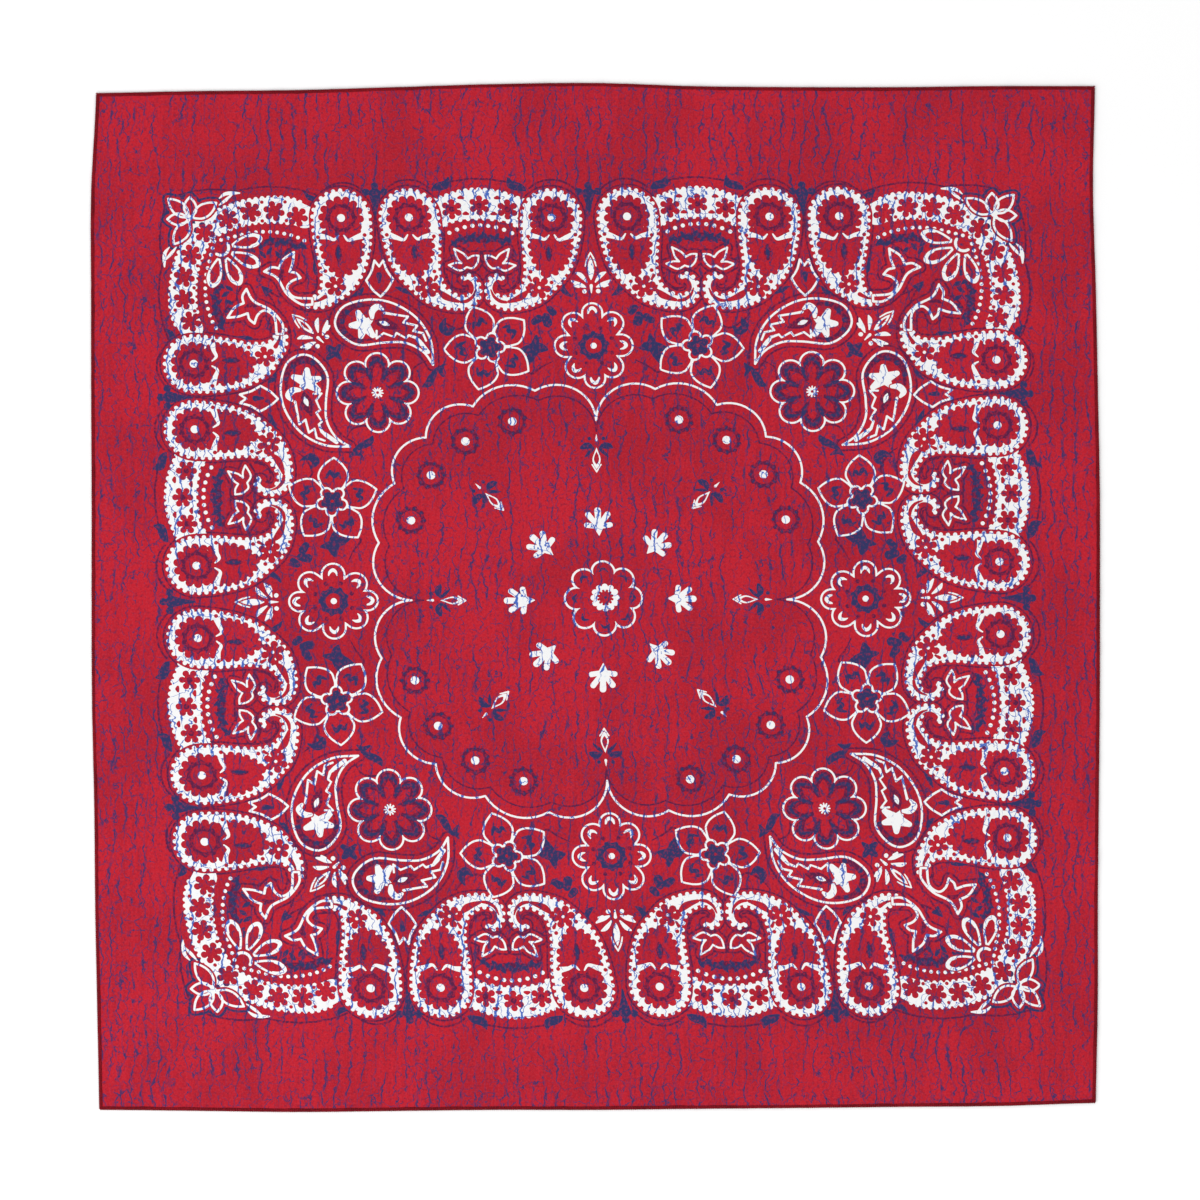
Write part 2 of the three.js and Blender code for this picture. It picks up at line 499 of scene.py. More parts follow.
@dataclass(frozen=True)
class PaisleyPrint(Stamp):
    """The print of the cloth, drawn in the eighth of its plan where b is over a and a over 0.

    Places are millimetres from the middle of the print, a to the side and b outwards. The rows of a
    stroke are a, b and half width, and those of a blade are the way along it and half width.

    Attributes:
        arch_middle: where the arch between two drops has its middle.
        outline: the width of the medallion's line and the like.
        thin: the width of the flowers' and leaves' lines.
        firm: the width of the kite's, paisley's and corner's lines.
        diagonal: the degrees from +b to the diagonal.
    """

    arch_middle: float = 58.35
    outline: float = 1.1
    thin: float = 1.05
    firm: float = 1.2
    diagonal: float = 45.0

    def draw(self) -> InkField:
        """Prints every motif.

        Returns:
            The inks' distances.
        """
        self.medallion()
        self.middle_flower()
        for turn in (0.0, self.diagonal):
            self.sprig(turn)
            self.bud(turn)
        for motif in (
            self.navy_sprays,
            self.side_band,
            self.corner_band,
            self.outer_contour,
            self.botehs,
            self.axis_flower,
            self.diagonal_flower,
            self.five_petals,
            self.small_paisley,
            self.tulip_tail,
            self.arch_leaves,
            self.kite,
            self.half_daisy,
            self.corner_flower,
        ):
            motif()
        self.fleur((0.0, 178.7), 0.0)
        self.fleur((149.5, 149.5), self.diagonal)
        return self.plate

    def medallion(self) -> None:
        """The wavy line round the middle, a faint line inside it, and its ringed dots."""
        cusps = ((0, 100.5), (32.2, 117.5), (65.3, 108.6), (91, 91))
        inner = ((0, 94), (30.6, 112), (62.3, 103.6), (87.4, 87.4))
        bulges = (10.5, 7.1, 8.0)
        arcs = [arc_line(s, e, bulge) for s, e, bulge in zip(cusps, cusps[1:], bulges)]
        self.white(Shape.line(np.vstack(arcs)), grow=self.outline / 2)
        self.faint(
            *(Shape.line(arc_line(s, e, g - 0.6, 0.45)) for s, e, g in zip(inner, inner[1:], bulges))
        )
        for a, b in ((44.6, 100.3), (69.9, 89.0)):
            self.faint(ring_line(6.4, 1.0).placed(a, b), Shape.discs(ring_places(10, 7.0) + (a, b), 1.3))
            self.navy(Shape.discs(ring_places(10, 6.8) + (a, b), 0.8))
            self.white(Shape.discs([(a, b)], 2.3))

    def eight_lobes(self, a: float, b: float, reach: float, lobe: float) -> Shape:
        """Eight round lobes about a filled middle."""
        return Shape.discs(ring_places(8, reach) + (a, b), lobe) + Shape.discs([(a, b)], reach)

    def middle_flower(self) -> None:
        """The flower in the middle of the print, with a toothed ring."""
        self.white(self.eight_lobes(0, 0, 14.6, 6.1), line=self.outline)
        crescent = Shape.stroke([(-2.4, 14.6, 0.3), (0, 16.4, 0.8), (2.4, 14.6, 0.3)])
        self.navy(*crescent.around(8))
        self.white(Shape.discs(ring_places(12, 6.2), 1.6) + Shape.discs([(0, 0)], 6.4))
        self.bare(Shape.discs(ring_places(12, 3.8, 15), 0.75) + Shape.discs([(0, 0)], 3.4))
        self.navy(Shape.discs([(0, 0)], 0.8))

    def sprig(self, turn: float) -> None:
        """A leaf of five round fingers round the middle flower.

        Args:
            turn: degrees from +b to the leaf.
        """
        hub = (0, 40.6, 1.3)
        ends = ((0, 49.8, 1.8), (5.2, 47.6, 1.6), (6.2, 41.6, 1.5), (-5.2, 47.6, 1.6), (-6.2, 41.6, 1.5))
        limbs = [Shape.line([hub, end]) for end in ends] + [Shape.line([(0, 40.6, 2.7), (0, 35.8, 0.3)])]
        self.white(*(limb.placed(0, 0, turn) for limb in limbs))

    def bud(self, turn: float) -> None:
        """A narrow outlined bud with a chevron below it, a dart above and navy leaves beside.

        Args:
            turn: degrees from +b to the bud.
        """
        bud = Shape.blade([(73.0, 0), (75.4, 1.5), (78.6, 2.2), (82, 1.2), (85.2, 0)])
        hole = Shape.blade([(75.6, 0), (77, 1.0), (78.8, 1.4), (81, 0.9), (83, 0)])
        chevron = Shape.line([(2.4, 75.6, 0.35), (0, 71.6, 0.45), (-2.4, 75.6, 0.35)])
        dart = Shape.line([(0, 92.4, 0.1), (0, 89.2, 0.75)])
        leaves = (
            Shape.stroke([(1.4, 84.6, 0.4), (4.2, 86.2, 1.7), (6.6, 85.8, 1.7), (8.6, 84.9, 0.5)]),
            Shape.stroke([(1.6, 84.4, 0.5), (3.6, 82.6, 1.0), (6.2, 79.9, 0.4)]),
            Shape.discs([(3.7, 90.2)], 1.1),
        )
        both = [laid for leaf in leaves for laid in (leaf, leaf.mirrored())]
        self.navy(*(leaf.placed(0, 0, turn) for leaf in both))
        self.white(*(limb.placed(0, 0, turn) for limb in (bud, chevron, dart)))
        self.bare(hole.placed(0, 0, turn))

    def axis_flower(self) -> None:
        """The tall flower of eight lobes over the medallion, with a crescent in each lobe."""
        middle = (0, 142.3)
        lobes = ((0, 18.5, 5.4), (10.2, 12.5, 6.2), (14.8, 0, 6.1), (9.2, -11.8, 6.2), (0, -18.2, 5.5))
        heart = [(0, -12, 6.0), (0, 0, 13.5), (0, 12, 6.0)]
        outline = Shape.line(heart)
        for a, b, radius in lobes:
            lobe = Shape.line([(0, 0, radius), (a, b, radius)])
            outline = outline + lobe + lobe.mirrored()
        self.white(outline.placed(*middle), line=self.thin)
        crescent = Shape.stroke(
            [(-2.4, -1.4, 0.3), (-1.7, 0.5, 0.8), (0, 1.7, 0.95), (1.6, 0.4, 0.7), (2.1, -1.4, 0.3)]
        )
        for a, b, _ in lobes:
            laid = crescent.placed(a * 1.06, b * 1.06, math.degrees(math.atan2(a, b)))
            self.white(laid.placed(*middle), laid.mirrored().placed(*middle))
        self.navy(ring_line(5.9, 1.5).placed(*middle), Shape.discs(ring_places(9, 7.0) + middle, 1.4))
        self.faint(Shape.discs(ring_places(8, 10.6, 22.5) + middle, 1.2))
        self.white(Shape.discs([middle], 1.7))

    def diagonal_flower(self) -> None:
        """The dark eight-lobed flower on the diagonal."""
        a = b = 116.3
        lobes = self.eight_lobes(a, b, 15.8, 6.4)
        self.faint(lobes, grow=-1.6)
        self.white(lobes, line=self.thin)
        crescent = Shape.stroke(
            [(-4.2, 14.0, 0.4), (-2.6, 16.6, 0.9), (0, 18.6, 1.1), (2.6, 16.6, 0.9), (4.2, 14.0, 0.4)]
        )
        between = Shape.stroke([(0, 8.2, 0.5), (0, 12, 1.2), (0, 15.2, 0.7)])
        self.navy(*(limb.placed(a, b) for limb in (*crescent.around(8), *between.around(8, 22.5))))
        petal = Shape.blade([(4, 0.8), (8.6, 2.2), (12, 2.5), (14.4, 1.4), (16.4, 0)])
        self.bare(*(limb.placed(a, b) for limb in petal.around(8)), Shape.discs([(a, b)], 6.5))
        tooth = Shape.line([(0, 1.2, 0.45), (0, 2.9, 0.4)])
        self.white(Shape.discs([(a, b)], 1.9), *(limb.placed(a, b) for limb in tooth.around(11)))
        self.bare(Shape.discs([(a, b)], 0.8))

    def five_petals(self) -> None:
        """The star flower of five pointed petals round a dark middle."""
        middle, first, tip = (55.8, 141.8), 93.0, 24.4
        profile = [
            (2, 0.4), (7.6, 5.2), (10.4, 6.7), (13.6, 7.9), (17.2, 7.1), (20.4, 4.9), (22.6, 2.5), (tip, 0)
        ]
        petals = [petal.placed(*middle) for petal in Shape.blade(profile).around(5, first)]
        self.white(*petals, grow=self.thin / 2)
        self.bare(*petals, grow=-self.thin / 2)
        notch = Shape.line([(0, 8.6, 1.0), (0, 11.2, 0.5)])
        self.white(*(n.placed(*middle) for n in notch.around(5, first + 36)))
        shade = Shape.stroke(
            [(-3.6, 13.0, 0.6), (-1.6, 16.4, 1.2), (0.6, 13.8, 1.1), (2.6, 15.6, 1.0), (4.0, 13, 0.5)]
        )
        self.navy(*(s.placed(*middle) for s in shade.around(5, first)))
        heart = Shape.discs(ring_places(5, 5.4, first + 36), 2.9) + Shape.discs([(0, 0)], 5.6)
        self.bare(heart.placed(*middle), grow=0.5)
        self.white(heart.placed(*middle), line=self.outline)
        core = Shape.discs(ring_places(5, 3.9, first + 36), 2.1) + Shape.discs([(0, 0)], 3.9)
        self.navy(core.placed(*middle))
        self.bare(Shape.discs([middle], 0.9))

    def small_paisley(self) -> None:
        """The outlined drop beside the diagonal, with a flower, a seed and two zigzags in it."""
        under = [
            (86.2, 131.8), (91.5, 139.3), (101, 144.2), (112, 144.4), (126, 143.2), (135.6, 149.4),
            (138.2, 157)
        ]
        over = [
            (138.2, 157), (133, 165.2), (120, 168.6), (107, 166.4), (94.5, 158), (87.3, 145.5),
            (86.2, 131.8)
        ]
        drop = Shape.fence(under + over[1:])
        self.faint(drop, grow=3.2, line=1.1)
        self.white(drop, line=self.firm)
        upper = [
            (88.8, 139, 1.1), (93, 144.6, 1.2), (95, 147, 0.8), (99, 148.4, 0.6), (100.5, 146.7, 0.5),
            (105.5, 149.7, 0.6)
        ]
        upper += [(107, 147.5, 0.5), (112.5, 149.7, 0.6), (116.3, 146.6, 0.5), (116.2, 151, 0.6)]
        lower = [
            (89.8, 145.4, 0.6), (91.4, 149.6, 0.6), (96.6, 150.8, 0.6), (94.4, 153.8, 0.6),
            (101.8, 155.6, 0.6)
        ]
        lower += [(99.2, 158.9, 0.6), (106, 160, 0.6), (111.8, 161, 0.7), (112.6, 163.4, 0.7)]
        self.white(Shape.line(upper), Shape.line(lower))
        rim = [
            (117, 165.6, 0.6), (128, 164.8, 1.5), (134.2, 159.4, 2.0), (134.8, 152.6, 1.9),
            (128, 146.2, 1.2)
        ]
        self.faint(Shape.stroke(rim + [(119, 146.2, 0.5)]))
        tips = ((125.8, 161.4), (129.6, 154.2), (124.6, 148.0), (118.2, 148.4), (119.2, 157.4))
        self.white(*(Shape.line([(123, 154.6, 3.3), (*tip, 1.5)]) for tip in tips))
        swoosh = [(118.4, 158.4, 1.0), (118.2, 162.2, 1.8), (115.4, 164.6, 1.7), (112.6, 162.8, 0.8)]
        self.bare(Shape.stroke(swoosh), grow=0.6)
        self.white(Shape.stroke(swoosh))
        self.faint(Shape.stroke([(104, 152.4, 0.6), (111, 154.9, 3.1), (116.4, 156.2, 0.8)]))
        self.white(Shape.stroke([(109.6, 154.2, 0.4), (112, 155.2, 1.3), (114.4, 156, 0.3)]))
        spots = ((133.6, 150.8), (134.4, 156.5), (131.6, 161.6), (125.4, 145.4), (125, 165.6))
        self.navy(Shape.discs(spots, 1.5))

    def navy_sprays(self) -> None:
        """The loose navy leaves and blobs between the flowers."""
        leaves = (
            [(25, 140.6, 0.8), (29, 141.6, 2.8), (34, 141, 2.8), (39.6, 140.2, 0.6)],
            [(35.4, 132.4, 0.8), (33.4, 137.4, 2.5), (31.4, 142.6, 2.6), (30.4, 148.2, 0.8)],
            [(31.4, 156.2, 1.9), (28.8, 158, 2.3)],
            [(24.9, 159.2, 2.1), (24.2, 155.6, 2.6)],
            [(22.8, 163.4, 1.8), (21, 161.4, 2.1)],
            [(14.5, 177.4, 0.4), (15.5, 175, 1.5), (13.4, 172, 1.3), (11, 170.4, 0.4)],
            [(74.4, 153, 0.5), (78, 150.2, 2.1), (80.8, 153, 2.2), (79.2, 158, 0.5)],
            [(84, 129.8, 0.8), (86.6, 125.4, 2.0), (88.8, 121.2, 2.0), (91.8, 119.6, 0.5)],
            [(80.5, 132, 0.6), (82.4, 129, 1.4), (80.8, 125.4, 0.6)],
            [(96, 171, 0.4), (101, 173.6, 1.4), (105.4, 175.4, 0.4)],
            [(122.6, 175.4, 0.4), (124.6, 172.6, 1.3), (128.4, 171, 0.4)],
            [(147.3, 184, 1.4), (147.5, 187, 1.8), (147.6, 192.4, 1.0)],
            [(171.4, 174.6, 0.4), (174.4, 174.8, 1.6), (176.8, 176.8, 0.6)],
        )
        self.navy(*(Shape.stroke(leaf) for leaf in leaves))
        maple = Shape.line([(0, -4.6, 0.8), (0, 1, 2.6), (0, 4.6, 1.4)])
        lobes = Shape.line([(-4.4, 0.6, 1.4), (0, 0, 2.2), (4.4, 0.6, 1.4)])
        self.navy(*(limb.placed(139, 139, self.diagonal) for limb in (maple, lobes)))
        curves = (
            [(66, 157, 0.3), (72, 152, 0.6), (80, 156, 0.5), (84, 161, 0.3)],
            [(38, 131, 0.3), (34, 127, 0.6), (28, 131, 0.5), (22, 134, 0.3)],
            [(166, 170, 0.3), (170, 172, 0.6), (176, 176, 0.6)],
            [(93, 117, 0.3), (97.4, 122, 0.6), (96.4, 130, 0.5), (90, 134, 0.3)],
        )
        self.faint(*(Shape.stroke(curve) for curve in curves))

    def side_band(self) -> None:
        """The band between two drops, with flowers cut out of it, dots inside it and hatching."""
        middle = self.arch_middle
        inner = [(37, 207.5), (41, 211.8), (46, 213.3), (52, 214.2), (middle, 214.5)]
        outer = [(middle, 230.8), (52, 230.2), (46, 229), (40, 226.8), (34.5, 224.6)]
        flip = [(2 * middle - a, b) for a, b in inner[:-1]][::-1]
        back = [(2 * middle - a, b) for a, b in outer[1:]][::-1]
        band = Shape.fence(inner + flip, [flip[-1], back[0]], back + outer, [outer[-1], inner[0]])
        self.white(band)
        outside = smooth_line(back + outer)
        inside = smooth_line(inner + flip)
        self.white(Shape.discs(even_places(outside, 3.5), 1.3))
        self.white(Shape.discs(even_places(inside, 4.2), 1.2))
        for a, b in ((43.5, 219.6), (middle, 221.8), (2 * middle - 43.5, 219.6)):
            self.bare(flower_hole(a, b, 6, 4.0, 1.75))
            self.faint(Shape.discs([(a, b)], 1.6))
        for a, b in ((50.9, 217.0), (48.6, 226.0), (36.6, 214.6)):
            lens = Shape.line([(-1.2, 0, 0.7), (0, 0.3, 1.15), (1.2, 0, 0.7)]).placed(a, b)
            self.bare(lens, lens.mirrored(middle))
        dots = 4.2 * np.arange(-4, 5)
        self.white(Shape.discs(np.column_stack([middle + dots, 210.6 - 0.0155 * dots**2]), 1.15))
        steps = 2.1 * np.arange(-7, 8)
        self.tufts(np.column_stack([middle + steps, 203.4 - 0.012 * steps**2]))
        haze = Shape.stroke(
            [(43, 200.8, 0.5), (50, 202.8, 1.6), (58.4, 203.2, 2.4), (67, 202.8, 1.6), (74, 200.8, 0.5)]
        )
        self.faint(haze)
        leaf = Shape.stroke([(33.6, 230.4, 0.6), (36.5, 232.2, 2.2), (41, 233.6, 2.3), (42.4, 237.4, 0.5)])
        self.navy(leaf, leaf.mirrored(middle))

    def tufts(self, places: np.ndarray) -> None:
        """A ragged strip of short leaning tufts in navy.

        Args:
            places: rows of a and b, one for each tuft.
        """
        for step, (a, b) in enumerate(places):
            lean, drop = 1.2 - 2.4 * (step % 2), 1.2 * (step % 3)
            tuft = Shape.line([(-lean, -drop, 0.6), (0, 1.6 - drop, 1.3), (lean, 3.4 - drop, 0.5)])
            self.navy(tuft.placed(a, b))

    def corner_band(self) -> None:
        """The band that turns the corner, with flowers cut out of it and a row of dots."""
        band = [
            (153, 215.8, 6.4), (164, 219.9, 6.9), (180, 219.4, 6.6), (193.4, 215.9, 6.2),
            (208.2, 208.2, 5.6)
        ]
        self.white(Shape.stroke(band))
        rim = limb_rim(band)
        outside = rim[(rim[:, 1] > rim[:, 0] - 4) & (rim[:, 0] > 152)]
        self.white(Shape.discs(even_places(outside[outside.sum(axis=1) > 372], 3.5), 1.2))
        for a, b in ((157, 216), (169.5, 219.3), (182.2, 219), (194.7, 214.9), (207.4, 207.4)):
            self.bare(flower_hole(a, b, 6, 4.1, 1.8, 15))
        for a, b in (
            (163.4, 224.4), (176, 224.4), (188.6, 221.2), (163, 213.8), (176, 213.8), (188.4, 211.6),
            (201.4, 213.6)
        ):
            self.bare(Shape.discs([(a, b)], 1.0))
        dots = even_places(
            smooth_line(
                [(153.5, 202.4), (160, 205.4), (171, 207.6), (182, 207.2), (191.4, 205), (202.2, 202.2)]
            ),
            3.9
        )
        self.white(Shape.discs(dots, 1.05))
        self.tufts(smooth_line([(154, 198), (162, 201), (171, 201.4), (180, 199), (185, 196)], 3))
        self.tufts(smooth_line([(160, 193.6), (168, 195.6), (176, 194.4)], 2))
        self.faint(Shape.stroke([(152, 198, 0.6), (162, 201.4, 2.2), (172, 202, 2.0), (182, 199, 0.6)]))

    def outer_contour(self) -> None:
        """The faint line round the outside of the whole border, and the navy leaves on it."""
        arcs = (
            ((6, 229.5), (31.5, 231.5), 5.7),
            ((34, 232), (82.7, 232), 5.0),
            ((85, 231.5), (108.5, 230), 5.4),
            ((121, 230), (143, 229.4), 5.0),
            ((147, 228.4), (190, 230.6), 3.6),
            ((190, 230.6), (226, 226), 3.0),
        )
        self.faint(*(Shape.line(arc_line(start, end, bulge, 0.55)) for start, end, bulge in arcs))
        for a in (0.0, 114.3):
            wedge = Shape.line([(a, 216, 0.5), (a, 222, 1.6), (a, 228, 3.4)])
            crown = Shape.discs([(a - 5, 229.2), (a, 232.6), (a + 5, 229.2)], 2.1)
            self.navy(wedge, crown)
        self.navy(Shape.stroke([(145, 226, 0.5), (149.6, 226.4, 1.6), (152.6, 229.6, 0.5)]))

    def botehs(self) -> None:
        """The two big drops that face each other in each arch, and the corner's."""
        spine = [
            (20.4, 214.8, 15.0), (21.1, 205, 14.6), (21.9, 195, 13.0), (23.4, 188, 11.1), (26.2, 181.3, 8.8)
        ]
        spine += [
            (30, 174.8, 6.7), (34.2, 171, 5.2), (38.8, 168.6, 4.1), (44, 167.0, 3.2), (49.4, 167.4, 2.6)
        ]
        spine += [
            (53.4, 170.2, 2.0), (54.8, 174.6, 1.4), (53.6, 178.8, 1.2), (50.6, 181.0, 1.0),
            (48.4, 180.0, 0.7)
        ]
        hollow = [
            (21, 201, 10.8), (21.2, 197, 10.5), (21.6, 192.4, 8.6), (22.4, 188.4, 5.6), (23.4, 185.4, 2.8)
        ]
        cuts = (
            [(32.2, 179.2, 0.6), (33.4, 181.4, 1.0)],
            [(33.4, 173.4, 1.1), (34.8, 175.6, 0.7)],
            [(34.6, 173.2, 0.9), (37.4, 170.6, 1.9), (41, 168.8, 1.5), (44.6, 167.6, 0.9)],
            [(46.2, 167.3, 0.8), (49.4, 167.9, 1.0), (52.6, 170.4, 0.8), (54.2, 174.2, 0.4)],
        )
        curl = [(39, 183, 0.4), (40, 178, 0.6), (44, 174.6, 0.6), (48.6, 174.6, 0.5), (49.4, 177, 0.4)]
        for stamp in (self, Stamp(self.plate, self.arch_middle)):
            Boteh(spine, hollow, (20.2, 214.8)).print_on(stamp)
            stamp.bare(flower_hole(28, 175.4, 6, 4.5, 1.95, 20), *(Shape.stroke(cut) for cut in cuts))
            stamp.bare(Shape.discs([(32.4, 184.4), (18.2, 183.4), (24.4, 181.2), (21.2, 178.2)], 1.1))
            stamp.white(Shape.discs([(28, 175.4)], 0.9))
            stamp.faint(Shape.stroke(curl))
        spine = [
            (133.3, 214.8, 15.0), (132.9, 205, 14.6), (132.9, 195, 12.9), (133.4, 188, 11.0),
            (135.2, 181, 8.9)
        ]
        spine += [(138, 175.6, 6.3), (142, 170.6, 4.1), (146.5, 168, 2.9), (152, 167.6, 2.0)]
        hollow = [
            (133.2, 201, 10.8), (133.2, 197, 10.5), (133.3, 192.4, 8.6), (133.8, 188.4, 5.6),
            (134.4, 185.4, 2.8)
        ]
        Boteh(spine, hollow, (133.3, 214.8), bare_curl=4).print_on(self)
        self.bare(
            flower_hole(137.4, 176.4, 6, 4.0, 1.8, 20), Shape.discs([(142.6, 185), (129, 183.6)], 1.1)
        )
        self.white(Shape.discs([(137.4, 176.4)], 0.9))
        self.bare(Shape.stroke([(143, 170.6, 1.2), (147, 168.4, 0.7), (151, 167.8, 0.4)]))

    def tulip_tail(self) -> None:
        """The outlined tulip that ends the corner drop."""
        tulip = Shape.fence(
            [(150, 166.4), (156, 166.6), (163.6, 172.6), (168.6, 181.6), (175.5, 185.3)],
            [(175.5, 185.3), (171.5, 187.6), (167.5, 187)],
            [(167.5, 187), (165, 192), (159.3, 196)],
            [(159.3, 196), (160, 190), (161.8, 185)],
            [(161.8, 185), (158.5, 184.2), (156, 181.5)],
            [(156, 181.5), (161, 179.5), (163.3, 175.5), (159.5, 170.6), (150, 169.8)],
            [(150, 169.8), (150, 166.4)],
        )
        self.bare(tulip, grow=1.0)
        self.faint(tulip, grow=3.0, line=1.1)
        self.white(tulip, line=1.3)
        self.faint(Shape.stroke([(165.6, 180, 0.4), (166.4, 183.4, 1.2), (165, 186.4, 0.4)]))

    def arch_leaves(self) -> None:
        """The two outlined three-point leaves in each arch."""
        leaf = Shape.fence(
            [(40.3, 188), (46, 185), (50, 187)],
            [(50, 187), (53, 186.4), (55.8, 189.4), (56.6, 193.5)],
            [(56.6, 193.5), (53.6, 193.4), (50.7, 191.8)],
            [(50.7, 191.8), (48.5, 194.6), (43.6, 197.3)],
            [(43.6, 197.3), (45, 192), (47.2, 189.2)],
            [(47.2, 189.2), (44, 189.3), (40.3, 188)],
        )
        for laid in (leaf, leaf.mirrored(self.arch_middle)):
            self.faint(laid, grow=2.6, line=1.1)
            self.white(laid, line=self.thin)

    def kite(self) -> None:
        """The outlined kite between the arch and the corner drop."""
        kite = Shape.fence(
            [(113.6, 170.2), (117.6, 174), (121, 179.4)],
            [(121, 179.4), (118, 184.4), (116.2, 190.6)],
            [(116.2, 190.6), (113.8, 187.2)],
            [(113.8, 187.2), (111.4, 190.6)],
            [(111.4, 190.6), (109.8, 185), (106.6, 180)],
            [(106.6, 180), (109.8, 174.4), (113.6, 170.2)],
        )
        self.white(kite, line=self.firm)
        self.navy(Shape.line([(114, 178.4, 0.8), (114, 182.4, 1.6)]))

    def half_daisy(self) -> None:
        """Four looped petals that point inwards from the corner, round a half moon."""
        centre = 198.4
        petal = Shape.blade([(6.5, 0.6), (10.5, 2.2), (15, 3.3), (19.2, 3.0), (22, 0)])
        rim = Shape.stroke(
            [(-2.6, 16, 0.4), (-2.4, 19.6, 0.9), (0, 21.8, 1.2), (2.4, 19.6, 0.9), (2.6, 16, 0.4)]
        )
        for turn in (-60, -20, 20, 60):
            laid = petal.placed(centre, centre, 180 + self.diagonal + turn)
            self.bare(laid, grow=1.2)
            self.white(laid, line=self.firm)
            self.white(rim.placed(centre, centre, 180 + self.diagonal + turn))
        moon = Shape.line(
            arc_line((-4.2, 0.4), (4.2, 0.4), 3.4, 0.8)
        ).placed(centre, centre, 180 + self.diagonal)
        self.white(moon)

    def corner_flower(self) -> None:
        """The flower that stands on the outer corner of the border, with a leaf beside it."""
        a = b = 214.6
        rows = ((0, 16.4, 3.6), (45, 12.6, 3.3), (-45, 12.6, 3.3), (101, 17, 3.6), (-101, 17, 3.6))
        form = ((0.3, 0.8), (0.55, 1.0), (0.8, 0.65), (1.0, 0.0))
        petals = []
        for turn, tip, half in rows:
            petal = Shape.blade([(1.5, 0), *((along * tip, wide * half) for along, wide in form)])
            petals.append(petal.placed(a, b, self.diagonal + turn))
        self.bare(*petals, grow=1.6)
        self.navy(*petals, grow=2.7, line=1.3)
        self.bare(*petals, grow=1.6)
        self.white(*petals, line=self.firm)
        self.white(Shape.line([(a + 0.6, b + 0.6, 1.4), (a + 2.6, b + 2.6, 0.5)]))
        hook = [(187.8, 229.6, 0.4), (192, 229.6, 1.0), (195.8, 229, 0.9), (198.8, 226.6, 0.3)]
        self.white(
            Shape.stroke(hook), Shape.stroke([(192, 228.6, 0.4), (195.4, 225.6, 0.9), (199, 222.8, 0.3)])
        )

    def fleur(self, base: tuple[float, float], turn: float) -> None:
        """A small lily: a leaf, two pairs of side petals, two balls and a foot.

        Args:
            base: where it stands.
            turn: degrees from +b to its leaf.
        """
        limbs = [Shape.blade([(0.6, 0.2), (3, 1.2), (6.6, 1.8), (10.4, 1.2), (13.4, 0)])]
        for knots in (
            [(2.3, -0.6, 0.4), (3.9, 1.6, 1.0), (5.7, 3.6, 1.2), (7.9, 4.8, 0.4)],
            [(2.9, -3.4, 0.4), (5.6, -2.2, 1.2), (8.4, -0.9, 1.0), (10.3, 0.2, 0.5)],
            [(6.8, -2.9, 0.9), (9.0, -2.5, 0.6)],
            [(3.6, -5.7, 1.2), (3.7, -5.8, 1.2)],
            [(2.9, 8.4, 0.35), (1.9, 12.2, 0.45), (0, 16, 0.4)],
        ):
            side = Shape.stroke(knots)
            limbs += [side, side.mirrored()]
        limbs.append(Shape.line([(0, -2.6, 0.9), (0, -6.6, 0.3)]))
        self.white(*(limb.placed(*base, turn) for limb in limbs))
        if turn:
            core = Shape.blade([(3.4, 0), (5, 0.5), (7, 0.8), (9.4, 0.5), (11, 0)])
            self.bare(core.placed(*base, turn))


@dataclass(frozen=True)
class Crease:
    """A soft crease: its middle, its way in degrees from +X, length, reach to a side, and rise."""

    x: float
    y: float
    turn: float
    length: float
    reach: float
    rise: float

    def height(self, x: np.ndarray, y: np.ndarray) -> np.ndarray:
        """Gives its height at places.

        It is the rise, times the square of one less the squared share of the way to an end, times
        the squared cosine of the share of the way to a side.

        Args:
            x: millimetres to the right.
            y: millimetres to the back.

        Returns:
            Millimetres of height at each place.
        """
        cos, sin = math.cos(math.radians(self.turn)), math.sin(math.radians(self.turn))
        dx, dy = x - self.x, y - self.y
        along = np.clip(np.abs(dx * cos + dy * sin) / (self.length / 2), 0, 1)
        aside = np.clip(np.abs(dy * cos - dx * sin) / self.reach, 0, 1)
        return self.rise * (1 - along**2) ** 2 * np.cos(aside * np.pi / 2) ** 2


